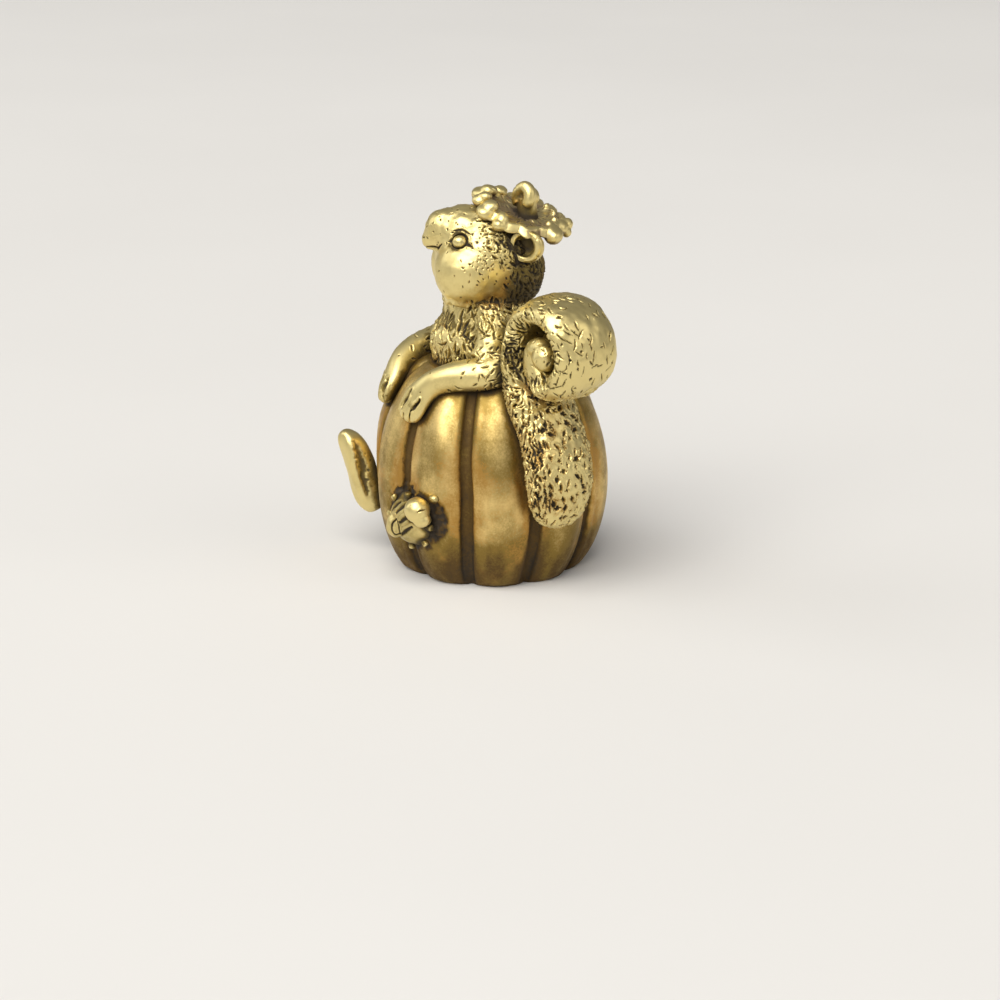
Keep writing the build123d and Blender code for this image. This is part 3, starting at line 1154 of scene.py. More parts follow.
@dataclass
class Squirrel:
    """The squirrel's head, snout, torso and arms, sculpted as one form and sawn at the creases.

    Attributes:
        nodes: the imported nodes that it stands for.
        neck: height of the cut under the chin.
        shoulder: distance from the axis of the cuts that part the arms.
        arm_ways: the ways that the left and the right arm's cuts face, as azimuths.
        muzzle: how far forward the snout is parted.
        throat: how far the throat is drawn in.
        fringe: how far the crumbly fringe stands out under the jaw.
        middle: the middle of the head.
        eye: the middle of the left eye.
        eye_ring: half the width and half the height of the ring round an eye.
        left_upper: the left upper arm's path, and its thickness.
        right_upper: the same for the right upper arm.
        brow: the middle of the lump between snout and forehead, and its half lengths.
        slits: the lines between the fingers.
        slit_half: half the width of a line between fingers.
        narrow_half: the same for the second one, which is narrower.
        slit_depth: depth of those lines.
        mouth: the left half of the mouth.
        nostril: the left nostril.
        voxel: the skin's grain.
    """

    foundry: Foundry
    nodes: Tuple[str, ...] = ("torso", "head", "snout", "left_arm", "right_arm")
    neck: float = 25.3
    shoulder: float = 5.35
    arm_ways: Range = (65.0, -45.0)
    muzzle: float = 4.3
    throat: float = 0.5
    fringe: float = 0.24
    middle: Array = field(default_factory=lambda: np.array([0.0, -0.4, 29.5]))
    eye: Array = field(default_factory=lambda: node_centre("left_eye"))
    eye_ring: Range = (0.74, 0.66)
    left_upper: Tuple[Path, Sequence[float]] = (
        ((3.3, -0.4, 25.0), (4.8, -0.2, 23.7), (5.8, -0.4, 22.2), (6.3, -1.2, 21.0)),
        (1.5, 1.55, 1.6, 1.5),
    )
    right_upper: Tuple[Path, Sequence[float]] = (
        ((-3.0, -1.2, 25.0), (-4.1, -2.0, 23.7), (-4.8, -2.8, 22.3), (-5.2, -3.8, 21.2)),
        (1.4, 1.45, 1.5, 1.4),
    )
    brow: Tuple[Spot, Spot] = ((0.0, -3.9, 32.5), (1.8, 2.1, 1.55))
    slits: Tuple[Path, ...] = (
        ((5.84, -7.85, 18.3), (5.8, -8.2, 17.6), (5.67, -8.5, 17.0)),
        ((6.95, -7.1, 17.7), (6.75, -7.6, 16.9), (6.45, -8.0, 16.2)),
        ((4.9, -8.4, 18.2), (4.8, -8.8, 17.6), (4.7, -9.1, 17.0)),
        ((0.25, -9.8, 17.75), (0.3, -10.1, 17.1), (0.4, -10.3, 16.4)),
        ((-0.75, -9.9, 17.7), (-0.75, -10.2, 17.0), (-0.75, -10.4, 16.3)),
        ((-1.7, -9.8, 17.7), (-1.8, -10.1, 17.0), (-1.85, -10.3, 16.3)),
    )
    slit_half: float = 0.24
    narrow_half: float = 0.14
    slit_depth: float = 0.42
    mouth: Path = ((0.0, -6.6, 30.1), (0.8, -6.0, 30.25), (1.5, -5.2, 30.55), (1.9, -4.6, 31.1))
    nostril: Path = ((0.45, -6.9, 31.5), (0.75, -6.6, 31.55))
    voxel: float = 0.085

    def build(self) -> Wax:
        """The squirrel's form.

        Returns:
            Its wax.
        """
        lumps = [node_lump(node) for node in self.nodes]
        for spots, radii in (self.left_upper, self.right_upper):
            lumps.append(rope_lump(np.array(spots), radii))
        lumps.append(ball_lump(np.array(self.brow[0]), self.brow[1]))
        wax = Wax(lumps, self.voxel).melt(5).soften(4)
        self.coat(wax)
        return wax

    def on_arm(self, points: Array) -> Array:
        """How far each point lies out on an arm, from 0 on the torso to 1 at the elbow."""
        ahead = -points[:, 1] - 3.2 * (points[:, 0] < 0) + 0.9 * grain(points, 0.8, 27)
        return smooth_step(from_axis(points), 5.4, 6.6) * smooth_step(ahead, -0.6, 4.4)

    def cheeks(self, points: Array) -> Array:
        """How far each point lies on the smooth face, from 0 on the fur to 1 on the cheeks.

        Args:
            points: places, one row each.

        Returns:
            One value for each place.
        """
        offset = points - self.middle
        turn = np.abs(azimuths(offset)) + 7 * grain(points, 1.1, 15)
        edge = 106 - 9 * np.clip(offset[:, 2], -1.0, 4)
        face = smooth_step(-turn, -edge - 8, -edge + 8)
        jaw = smooth_step(points[:, 2] + 0.35 * grain(points, 0.7, 16), 25.9, 26.7)
        return face * jaw

    def coat(self, wax: Wax) -> None:
        """Engraves the fur, the eye rings and the pits.

        Args:
            wax: the squirrel's form.
        """
        head = smooth_step(wax.points[:, 2], 25.2, 26.2)
        nose = smooth_step(-wax.points[:, 1], 5.7, 6.6)
        wax.melt(60, head * (1 - nose))
        wax.melt(12, smooth_fall(np.abs(wax.points[:, 2] - 25.4), 0.4, 1.4))
        wax.melt(30, smooth_fall(np.abs(wax.points[:, 2] - 22.0), 1.5, 3.0) * (1 - self.on_arm(wax.points)))
        throat = bell(azimuths(wax.points), 5, 50) * bell(wax.points[:, 2], 24.1, 1.0)
        wax.push(-self.throat * throat)
        fringe = bell(wax.points[:, 2] - 0.2 * grain(wax.points, 1.1, 18), 25.75, 0.3)
        front = smooth_fall(np.abs(azimuths(wax.points - self.middle)), 70, 100)
        wax.push(self.fringe * fringe * front)
        smooth = self.cheeks(wax.points)
        furry = np.maximum(1 - smooth, 0.0) * (1 - self.on_arm(wax.points))
        wax.push(0.07 * furry * grain(wax.points * np.array([1, 1, 0.4]), 0.42, 19))
        wax.push(smooth * (0.04 * grain(wax.points, 1.3, 20) + 0.02 * grain(wax.points, 0.45, 37)))
        forehead = head * smooth_step(wax.points[:, 2] - self.middle[2], 0.6, 2.0)
        wax.roughen(0.07 * forehead, 0.55, 28)
        self.strands(wax)
        self.marks(wax)
        self.eyes(wax)
        self.paws(wax)

    def strands(self, wax: Wax) -> None:
        """Engraves the chest's strands and the fur on the back of the head.

        Args:
            wax: the squirrel's form.
        """

        def chest(points: Array) -> Array:
            """Strands cover the torso and fade out along the arms.

            Args:
                points: places, one row each.

            Returns:
                One value for each place.
            """
            height = points[:, 2]
            bare = bell(azimuths(points), 30, 28) * smooth_step(height, 21.5, 23.5)
            share = smooth_fall(height, 25.2, 26.0) * (1 - 0.7 * bare)
            return share * (1 - upper_arm(points)) * smooth_step(height, 18.0, 19.6)

        def sleeve(points: Array) -> Array:
            """Shorter strands lie on the upper arms and fade towards the paws."""
            low = smooth_fall(points[:, 2], 24.6, 25.4)
            return low * upper_arm(points) * (1 - self.on_arm(points))

        def upper_arm(points: Array) -> Array:
            """How far each point lies out from the torso, from 0 to 1."""
            return smooth_step(from_axis(points), 5.5, 6.4)

        def down(points: Array) -> Array:
            """Strands hang from the middle of the chest and sweep out and back to the arms.

            Args:
                points: places, one row each.

            Returns:
                One direction for each place.
            """
            way = np.zeros_like(points)
            way[:, 2] = -1.0
            sweep = smooth_step(np.abs(azimuths(points)), 25, 90)[:, None] * np.array([0, 0.75, 0])
            arm = 0.75 * upper_arm(points)[:, None]
            way = way + sweep + 0.3 * grain(points, 1.2, 10)[:, None] * np.array([0.3, 1.0, 0])
            return way * (1 - arm) + arm * np.array([0, -1.0, -0.35])

        def nape(points: Array) -> Array:
            """Short fur covers the head behind the cheeks.

            Args:
                points: places, one row each.

            Returns:
                One value for each place.
            """
            offset = points - self.middle
            behind = smooth_step(np.abs(azimuths(offset)), 60, 85)
            return behind * (1 - self.cheeks(points)) * smooth_step(points[:, 2], 24.6, 25.4)

        def backwards(points: Array) -> Array:
            """The fur on the head runs down and back."""
            way = unit((points - self.middle) * np.array([1, 1, 0]))
            return np.stack([way[:, 0] * 0.1, way[:, 1] * 0.1 + 0.6, -np.ones(len(points))], axis=1)

        wax.groom(Coat.CHEST, chest, down).groom(Coat.SLEEVE, sleeve, down)
        wax.groom(Coat.NAPE, nape, backwards)

    def marks(self, wax: Wax) -> None:
        """Engraves the brow's rough marks, the whiskers' pits and a few pits elsewhere.

        Args:
            wax: the squirrel's form.
        """

        def still(points: Array) -> Array:
            """Downwards."""
            return np.zeros_like(points) - UP

        def brow(points: Array) -> Array:
            """Rough marks lie over the brow, clear of the eyes.

            Args:
                points: places, one row each.

            Returns:
                One value for each place.
            """
            near = np.stack([np.abs(points[:, 0]), points[:, 1], points[:, 2]], 1) - self.eye
            clear = smooth_step(np.linalg.norm(near, axis=1), 0.9, 1.3)
            offset = points - self.middle
            high = 0.12 * smooth_step(offset[:, 2], 1.0, 2.6)
            beside = smooth_step(np.abs(azimuths(offset)), 66, 80) * smooth_step(offset[:, 2], -0.9, 0.6)
            return np.maximum(high, beside) * clear

        def whiskers(points: Array) -> Array:
            """Pits and short marks lie on the lower cheek.

            Args:
                points: places, one row each.

            Returns:
                One value for each place.
            """
            offset = points - self.middle
            band = smooth_fall(np.abs(offset[:, 2] + 0.5), 0.5, 1.5)
            back = smooth_step(np.abs(azimuths(offset)), 52, 76)
            return 0.8 * band * back * self.cheeks(points)

        def sparse(points: Array) -> Array:
            """A few pits lie anywhere."""
            return np.full(len(points), 0.5)

        for coat, where in ((Coat.BROW, brow), (Coat.WHISKERS, whiskers), (Coat.SPARSE, sparse)):
            wax.groom(coat, where, still)

    def eyes(self, wax: Wax) -> None:
        """Cuts a ring with a pointed corner and a brow line round each eye.

        Args:
            wax: the squirrel's form.
        """
        rings = Strokes()
        for side in (1, -1):
            spot = self.eye * np.array([side, 1, 1])
            facing = unit(spot - self.middle)
            back = unit(np.cross(UP, facing)) * side
            rise = np.cross(facing, back) * side
            turns = np.linspace(0, 2 * math.pi, 40)[:, None]
            wide, tall = self.eye_ring
            ring = spot + wide * np.cos(turns) * back + tall * np.sin(turns) * rise
            rings.cut(wax.trace(ring), 0.1, 0.2, 0.5)
            outer = [spot + 0.7 * back, spot + 1.05 * back - 0.12 * rise, spot + 1.5 * back - 0.3 * rise]
            rings.cut(wax.trace(outer), 0.15, 0.2)
            rings.cut(wax.trace([spot - 0.7 * back, spot - 1.15 * back - 0.1 * rise]), 0.1, 0.14)
            lid = [spot + 0.95 * rise - 1.0 * back, spot + 1.15 * rise, spot + 0.85 * rise + 0.9 * back]
            rings.cut(wax.trace(lid), 0.1, 0.13)
        wax.engrave(rings, 0.3, 0.88, 0.2)

    def paws(self, wax: Wax) -> None:
        """Cuts the lines between the fingers, the mouth and the nostrils.

        Args:
            wax: the squirrel's form.
        """
        lines = Strokes()
        for number, slit in enumerate(self.slits):
            half = self.narrow_half if number == 1 else self.slit_half
            lines.cut(wax.trace(slit), half, self.slit_depth, 0.2)
        for side in (1, -1):
            mirror = np.array([side, 1, 1])
            lines.cut(wax.trace(np.array(self.mouth) * mirror), 0.13, 0.22)
            lines.cut(wax.trace(np.array(self.nostril) * mirror), 0.1, 0.12)
        wax.engrave(lines, 0.25, 1.0, 0.0)

    def dress(self, wax: Wax) -> None:
        """Casts the squirrel in its pieces.

        Args:
            wax: its form.
        """
        offset = wax.points - self.middle
        turn = np.abs(azimuths(offset)) + 8 * grain(wax.points, 0.9, 29)
        head = smooth_step(wax.points[:, 2], 25.0, 26.0)
        # nape is painted shade on the back of the head below the ear. jowl darkens the head below its
        # middle, towards the jaw.
        nape = head * smooth_step(turn, 92, 122) * smooth_fall(offset[:, 2], -0.6, 1.8)
        jowl = head * smooth_step(-offset[:, 2], 0.2, 3.4) * smooth_step(turn, 20, 85)
        warm = bell(turn, 92, 26) * smooth_fall(offset[:, 2], -1.0, 0.5)
        wax.rust = 1.1 * head * np.maximum(warm, 0.7 * jowl)
        tone = np.clip(self.foundry.age(wax, self.nodes, 0.9) + 0.45 * nape + 0.24 * jowl, 0, 1)
        whole = self.foundry.pour("squirrel_form", wax, tone)
        head = Cut((0, 0, self.neck), (0, 0.12, 1))
        nose = Cut((0, -self.muzzle, 31.5), (0, -0.86, 0.5))
        arms = {
            node: Cut(tuple(around(azimuth, self.shoulder, 22)), tuple(around(azimuth, 1, 0)))
            for node, azimuth in zip(("left_arm", "right_arm"), self.arm_ways)
        }
        plan = {
            "head": [head, nose.flipped()],
            "snout": [head, nose],
            "left_arm": [head.flipped(), arms["left_arm"]],
            "right_arm": [head.flipped(), arms["right_arm"]],
            "torso": [head.flipped(), arms["left_arm"].flipped(), arms["right_arm"].flipped()],
        }
        for node, cuts in plan.items():
            self.foundry.piece(f"{node}_casting", sawn(whole, cuts), Finish.COAT, [node])


@dataclass
class Tail:
    """The brush that lies on the pumpkin and rolls out into a coil.

    Attributes:
        azimuth: the way its plane faces.
        side_step: how far its plane lies to the front of the axis.
        reach: distance of the coil's centre from the axis.
        height: height of the coil's centre.
        radius: the coil's outer radius.
        inner_turn: angles round the coil between which its inner turn winds in, in degrees.
        inner_middle: how far out and down that turn's centre lies from the coil's.
        inner_reach: distances from that centre at which it starts and ends.
        inner_thickness: its thickness at its start and its end.
        inner_deep: how far from the coil's middle plane it starts and ends.
        tip: how far out, down and to the side the bud lies from the turn's end.
        tip_radius: the bud's radius.
        brush_end: heights between which the brush's pits fade out.
        bud_end: distances from the coil's axis between which the bud's marks fade out.
        voxel: the skin's grain.
    """

    foundry: Foundry
    azimuth: float = 125.0
    side_step: float = 1.7
    reach: float = 11.5
    height: float = 23.2
    radius: float = 4.95
    inner_turn: Range = (-70.0, -265.0)
    inner_middle: Range = (0.55, 0.35)
    inner_reach: Range = (2.7, 0.5)
    inner_thickness: Range = (1.15, 0.95)
    inner_deep: Range = (1.7, 2.25)
    tip: Spot = (0.45, 0.4, 0.2)
    tip_radius: float = 1.2
    brush_end: Range = (18.6, 20.5)
    bud_end: Range = (1.9, 2.4)
    voxel: float = 0.085

    def __post_init__(self) -> None:
        """Works out the tail's own directions."""
        self.out = around(self.azimuth, 1, 0)
        self.side = np.cross(self.out, UP) * -1
        self.centre = around(self.azimuth, self.reach, self.height) - self.side * self.side_step

    def build(self) -> Wax:
        """The tail's form with its engraved coat.

        Returns:
            Its wax.
        """
        wax = Wax([node_lump("tail")] + self.inner_turns(), self.voxel).melt(4).soften(5)
        wax.roughen(0.12, 1.5, 21)
        brush = self.brush(wax.points)
        wax.roughen(0.11 * brush, 0.7, 25)
        for coat, where in ((Coat.BRUSH, self.brush), (Coat.FLANK, self.flank), (Coat.BUD, self.bud)):
            wax.groom(coat, where, self.turning)
        wax.roughen(0.05 * (1 - brush), 0.6, 27)
        wax.groom(Coat.BAND, self.band, self.turning).groom(Coat.BAND_PITS, self.band, self.turning)
        return wax.groom(Coat.RIM, self.rim, self.inward)

    def polar(self, points: Array) -> Tuple[Array, Array]:
        """Distance of each point from the coil's own axis, and along it."""
        offset = points - self.centre
        return np.linalg.norm(flatten(offset, self.side), axis=1), offset @ self.side

    def inner_turns(self) -> List[bpy.types.Mesh]:
        """The last turn of the coil on both of its faces, winding in to the bud.

        Returns:
            The turns' and the buds' lumps.
        """
        lumps: List[bpy.types.Mesh] = []
        turns = np.radians(np.linspace(*self.inner_turn, 40))[:, None]
        reach, thick, deep = (
            np.linspace(*ends, 40)[:, None]
            for ends in (self.inner_reach, self.inner_thickness, self.inner_deep)
        )
        middle = self.centre + self.inner_middle[0] * self.out - self.inner_middle[1] * UP
        flat = middle + reach * np.cos(turns) * self.out + reach * np.sin(turns) * UP
        out, down, aside = self.tip
        for face in (1, -1):
            path = flat + face * deep * self.side
            tip = path[-1] + out * self.out - down * UP + aside * face * self.side
            lumps += [rope_lump(path, thick[:, 0]), ball_lump(tip, [self.tip_radius] * 3)]
        return lumps

    def turning(self, points: Array) -> Array:
        """The way along the tail: round the coil above, and down the brush below.

        Args:
            points: places, one row each.

        Returns:
            One direction for each place.
        """
        round_it = np.cross(self.side, unit(flatten(points - self.centre, self.side)))
        foot = self.height - self.radius
        above = smooth_step(points[:, 2], foot - 1.5, foot + 2.5)
        return above[:, None] * round_it + (1 - above)[:, None] * -UP

    def inward(self, points: Array) -> Array:
        """The way to the coil's centre."""
        return -unit(flatten(points - self.centre, self.side))

    def brush(self, points: Array) -> Array:
        """Pits cover the brush below the coil."""
        return smooth_fall(points[:, 2], *self.brush_end)

    def flank(self, points: Array) -> Array:
        """Close hatching lies on the brush's narrow edges, and on the coil's start.

        Args:
            points: places, one row each.

        Returns:
            One value for each place.
        """
        across = np.abs((points - self.centre) @ self.side)
        lie = smooth_step(across, 2.1, 2.6) * smooth_fall(points[:, 2], 21.5, 24.0)
        near = smooth_step(-(points - self.centre) @ self.out, 1.6, 2.8)
        return lie * np.maximum(smooth_fall(points[:, 2], 17.5, 19.5), near)

    def band(self, points: Array) -> Array:
        """Marks are scattered over the coil's outer band.

        Args:
            points: places, one row each.

        Returns:
            One value for each place.
        """
        reach, _ = self.polar(points)
        patchy = np.clip(0.6 + 0.7 * grain(points, 2.1, 29), 0.12, 1.0)
        return patchy * smooth_step(points[:, 2], 18.2, 19.6) * smooth_step(reach, 3.0, 3.6)

    def bud(self, points: Array) -> Array:
        """A few marks lie on the coil's inner turn."""
        return smooth_fall(self.polar(points)[0], *self.bud_end)

    def rim(self, points: Array) -> Array:
        """Notches lie round the inner edge of the coil on both faces.

        Args:
            points: places, one row each.

        Returns:
            One value for each place.
        """
        reach, deep = self.polar(points)
        edge = smooth_step(reach, 2.5, 2.9) * smooth_fall(reach, 3.5, 4.1)
        return edge * smooth_step(np.abs(deep), 1.9, 2.5)

    def dress(self, wax: Wax) -> None:
        """Casts the tail.

        Args:
            wax: its form.
        """
        brush = self.brush(wax.points)
        wax.rust = 1.4 * brush
        # The bud gives back part of the painted shade of its sheltered place.
        tone = self.foundry.age(wax, ["tail"], 0.85) + 0.07 * brush - 0.3 * self.bud(wax.points)
        self.foundry.cast("tail", wax, tone, Finish.TAIL)


@dataclass
class Hat:
    """The pumpkin's lid on the squirrel's head: a dish with beads round its rim, and a hooked stem.

    Attributes:
        origin: the middle of the dish.
        tilt_side: how far it leans to the squirrel's left, in degrees.
        tilt_back: how far it leans back, in degrees.
        radius: its radius.
        floor_edge: distances from its middle between which the dish's floor ends.
        beads: how many beads are round its rim.
        bead: a bead's half lengths: outwards, along the rim and up.
        inner_bead: the same for the beads inside the front ones.
        small_bead: the same for the small ones inside the rim at the back.
        ear_gap: azimuths between which the ear takes a bead's place.
        hook: azimuth, distance past the rim and height of the hook's points.
        hook_radii: thickness of the hook at its points.
        opening: the way the stem's hood opens, as an azimuth.
        arch: half the hood's width and half its height.
        arch_drop: how far under the stem's top the hood's middle lies.
        voxel: the lid's grain.
        stem_voxel: the stem's grain.
    """

    foundry: Foundry
    origin: Spot = (0.5, 2.8, 33.15)
    tilt_side: float = 11.0
    tilt_back: float = 15.0
    radius: float = 4.5
    floor_edge: Range = (2.9, 3.5)
    beads: int = 13
    bead: Spot = (0.95, 0.92, 0.68)
    inner_bead: Spot = (0.75, 0.72, 0.5)
    small_bead: Spot = (0.5, 0.42, 0.45)
    ear_gap: Range = (80.0, 115.0)
    hook: Path = ((180, -0.6, 0.8), (178, 0.3, 0.75), (172, 0.45, 0.2))
    hook_radii: Spot = (0.55, 0.6, 0.42)
    opening: float = 42.0
    arch: Range = (0.72, 0.86)
    arch_drop: float = 1.32
    voxel: float = 0.08
    stem_voxel: float = 0.06

    def __post_init__(self) -> None:
        """Works out the lid's own directions."""
        lean = [math.sin(math.radians(self.tilt_side)), math.sin(math.radians(self.tilt_back)), 1.0]
        self.up = unit(np.array(lean))
        self.right = unit(np.array([1.0, 0, 0]) - self.up * self.up[0])
        self.back = np.cross(self.up, self.right)

    def spot(self, azimuth: float, radius: float, height: float) -> Array:
        """A point over the lid's own plane.

        Args:
            azimuth: the way to it from the dish's middle, 0 to the front.
            radius: its distance from the middle.
            height: its height over the plane.

        Returns:
            The point.
        """
        turn = math.radians(azimuth)
        flat = radius * (math.sin(turn) * self.right - math.cos(turn) * self.back)
        return np.array(self.origin) + flat + height * self.up

    def build(self) -> Tuple[Wax, Wax]:
        """The forms of the lid and its stem.

        Returns:
            The lid's wax and the stem's.
        """
        lumps = [node_lump("lid")]
        chance = np.random.default_rng(31)
        for bead in range(self.beads):
            turn = 360 / self.beads * bead + chance.uniform(-3, 3)
            size = chance.uniform(0.8, 1.15)
            if self.ear_gap[0] < turn < self.ear_gap[1]:
                continue
            outward = unit(self.spot(turn, 1, 0) - self.spot(turn, 0, 0))
            axes = np.stack([outward, np.cross(self.up, outward), self.up])
            front = max(0.0, math.cos(math.radians(turn)))
            low = max(0.0, math.sin(math.radians(turn)))
            spot = self.spot(turn, self.radius - 0.3, 0.62 + 0.3 * front - 0.1 * low)
            lumps.append(ball_lump(spot, np.array(self.bead) * size, axes))
            if front > 0.5:
                inner = spot + 0.5 * self.up - 0.4 * outward
                lumps.append(ball_lump(inner, np.array(self.inner_bead) * size, axes))
        for turn in (140, 166, 192, 218):
            lumps.append(ball_lump(self.spot(turn, self.radius - 1.15, 0.95), self.small_bead))
        hook = [self.spot(turn, self.radius + past, height) for turn, past, height in self.hook]
        lumps.append(rope_lump(np.array(hook), self.hook_radii))
        lumps += [ball_lump(hook[1], (0.66, 0.66, 0.6)), ball_lump(hook[2], (0.5, 0.5, 0.5))]
        lid = Wax(lumps, self.voxel).melt(6).soften(2).roughen(0.1, 0.8, 36)
        lid.points = self.sag(lid.points)
        lid.roughen(0.07 * self.floor(lid.points), 0.5, 32).roughen(0.04, 0.9, 34)
        lid.groom(Coat.SCRATCHES, self.floor, self.outward)
        return lid, Wax(self.hood(), self.stem_voxel).melt(5).soften(3).roughen(0.05, 0.7, 35)

    def sag(self, points: Array) -> Array:
        """Points with the rim bent down, most of all at the sides, and drawn in at the back.

        Args:
            points: places, one row each.

        Returns:
            The moved places.
        """
        offset = points - np.array(self.origin)
        right, back = offset @ self.right, offset @ self.back
        reach = np.hypot(right, back)
        drop = (0.32 + 0.5 * (right / (reach + 0.01)) ** 2) * np.clip(reach / self.radius, 0, 1) ** 2
        inward = 0.13 * np.maximum(back, 0)
        return points - drop[:, None] * self.up - inward[:, None] * self.back

    def hood(self) -> List[bpy.types.Mesh]:
        """The stem: a stout stub under a hood that opens to the front left.

        Returns:
            Its lumps.
        """
        low, high = (np.array(corner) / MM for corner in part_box("lid_stem"))
        middle = np.array([(low[0] + high[0]) / 2, (low[1] + high[1]) / 2, high[2] - self.arch_drop])
        face = around(self.opening, 1, 0)
        across = np.cross(face, UP)
        turns = np.radians(np.linspace(-45, 225, 40))
        wide, tall = self.arch
        arch = middle + (wide * np.cos(turns))[:, None] * across + (tall * np.sin(turns))[:, None] * UP
        arch += 0.3 * face - 0.25 * np.sin(turns)[:, None] * face
        foot = np.array([middle, middle - 1.3 * UP, np.array([middle[0], middle[1], low[2] - 0.5])])
        return [
            rope_lump(arch, 0.56 + 0.1 * np.sin(turns)),
            rope_lump(foot - 0.2 * face, (0.95, 0.95, 1.05)),
            ball_lump(middle - 0.4 * face, (1.0, 1.0, 1.0)),
        ]

    def floor(self, points: Array) -> Array:
        """How far each point lies on the dish's floor, from 0 to 1."""
        offset = flatten(points - np.array(self.origin), self.up)
        return smooth_fall(np.linalg.norm(offset, axis=1), *self.floor_edge)

    def outward(self, points: Array) -> Array:
        """The way from the stem to the rim."""
        return unit(points - np.array(self.origin))

    def dress(self, waxes: Tuple[Wax, Wax]) -> None:
        """Casts the lid and its stem.

        Args:
            waxes: the lid's form and the stem's.
        """
        lid, stem = waxes
        tone = self.foundry.age(lid, ["lid"], 0.7)
        inside = self.floor(lid.points) * smooth_step(lid.normals @ self.up, 0.2, 0.6)
        # Painted shade: under darkens the lid's downward faces. The rim's upward faces are lighter, as
        # rubbed wear and painted light.
        under = smooth_fall(lid.normals @ self.up, -0.5, 0.1)
        rubbed_and_lit_rim = (1 - self.floor(lid.points)) * smooth_step(lid.normals @ self.up, 0.0, 0.5)
        self.foundry.cast("lid", lid, tone + 0.16 * inside + 0.4 * under - 0.22 * rubbed_and_lit_rim, Finish.DISH)
        # The stem is darker towards its foot in the dish: painted shade.
        tone = self.foundry.age(stem, ["lid_stem"], 0.8) + 0.25 * smooth_fall(stem.points[:, 2], 34.2, 35.0)
        self.foundry.cast("lid_stem", stem, tone, Finish.BEAD)


@dataclass
class Face:
    """The ears and the eyes.

    Attributes:
        ear_rim: thickness of an ear's rolled rim.
        ear_radius: the rim's radius.
        rim_end: how far round the rim runs each way from the back, in degrees.
        opening: the way the left ear opens, as an azimuth.
        bowl: half lengths of the lump behind an ear's bowl.
        ear_shadow: how strongly an ear's sheltered places darken.
        eye: half lengths of an eye.
        voxel: the ears' grain.
        eye_voxel: the eyes' grain.
    """

    foundry: Foundry
    ear_rim: float = 0.5
    ear_radius: float = 1.2
    rim_end: float = 128.0
    opening: float = 76.0
    bowl: Spot = (0.6, 1.0, 1.0)
    ear_shadow: float = 0.4
    eye: Spot = (0.6, 0.68, 0.6)
    voxel: float = 0.06
    eye_voxel: float = 0.045

    def build(self) -> Dict[str, Wax]:
        """The forms of the ears and the eyes.

        Returns:
            The wax of each node.
        """
        waxes: Dict[str, Wax] = {}
        for side, name in ((1, "left"), (-1, "right")):
            waxes[f"{name}_ear"] = self.ear(f"{name}_ear", side)
            eye = f"{name}_eye"
            lumps = [node_lump(eye), ball_lump(node_centre(eye), self.eye)]
            waxes[eye] = Wax(lumps, self.eye_voxel).soften(3)
        return waxes

    def ear(self, node: str, side: int) -> Wax:
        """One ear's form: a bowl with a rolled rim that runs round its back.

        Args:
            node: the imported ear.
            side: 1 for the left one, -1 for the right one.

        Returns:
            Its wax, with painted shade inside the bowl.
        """
        facing = around(side * self.opening, 1, 0)
        low, high = (np.array(corner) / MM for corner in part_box(node))
        middle = (low + high) / 2
        middle[0] = (high[0] if side > 0 else low[0]) - side * 0.45
        back = np.cross(facing, UP) * -side
        turns = np.radians(np.linspace(-self.rim_end, self.rim_end, 50))
        around_rim = np.cos(turns)[:, None] * (self.ear_radius * back + 0.2 * facing)
        rim = middle + around_rim + (self.ear_radius * np.sin(turns))[:, None] * UP
        thick = self.ear_rim * (0.62 + 0.38 * np.cos(turns * 1.2))
        bowl = ball_lump(middle - 1.45 * facing, self.bowl, np.stack([facing, back, UP]))
        wax = Wax([node_lump(node), rope_lump(rim, thick), bowl], self.voxel).melt(9).soften(2)
        flat = np.linalg.norm(flatten(wax.points - middle, facing), axis=1)
        # Painted shade fills the middle of the bowl, carried with the stroke stains.
        wax.ink = 0.75 * smooth_fall(flat, 0.55, 0.95) * smooth_step(wax.normals @ facing, 0.0, 0.5)
        return wax

    def dress(self, waxes: Dict[str, Wax]) -> None:
        """Casts the ears and the eyes.

        Args:
            waxes: the form of each node.
        """
        for node, wax in waxes.items():
            tone = self.foundry.age(wax, [node], self.ear_shadow if "ear" in node else 0.0)
            self.foundry.cast(node, wax, tone, Finish.BEAD)


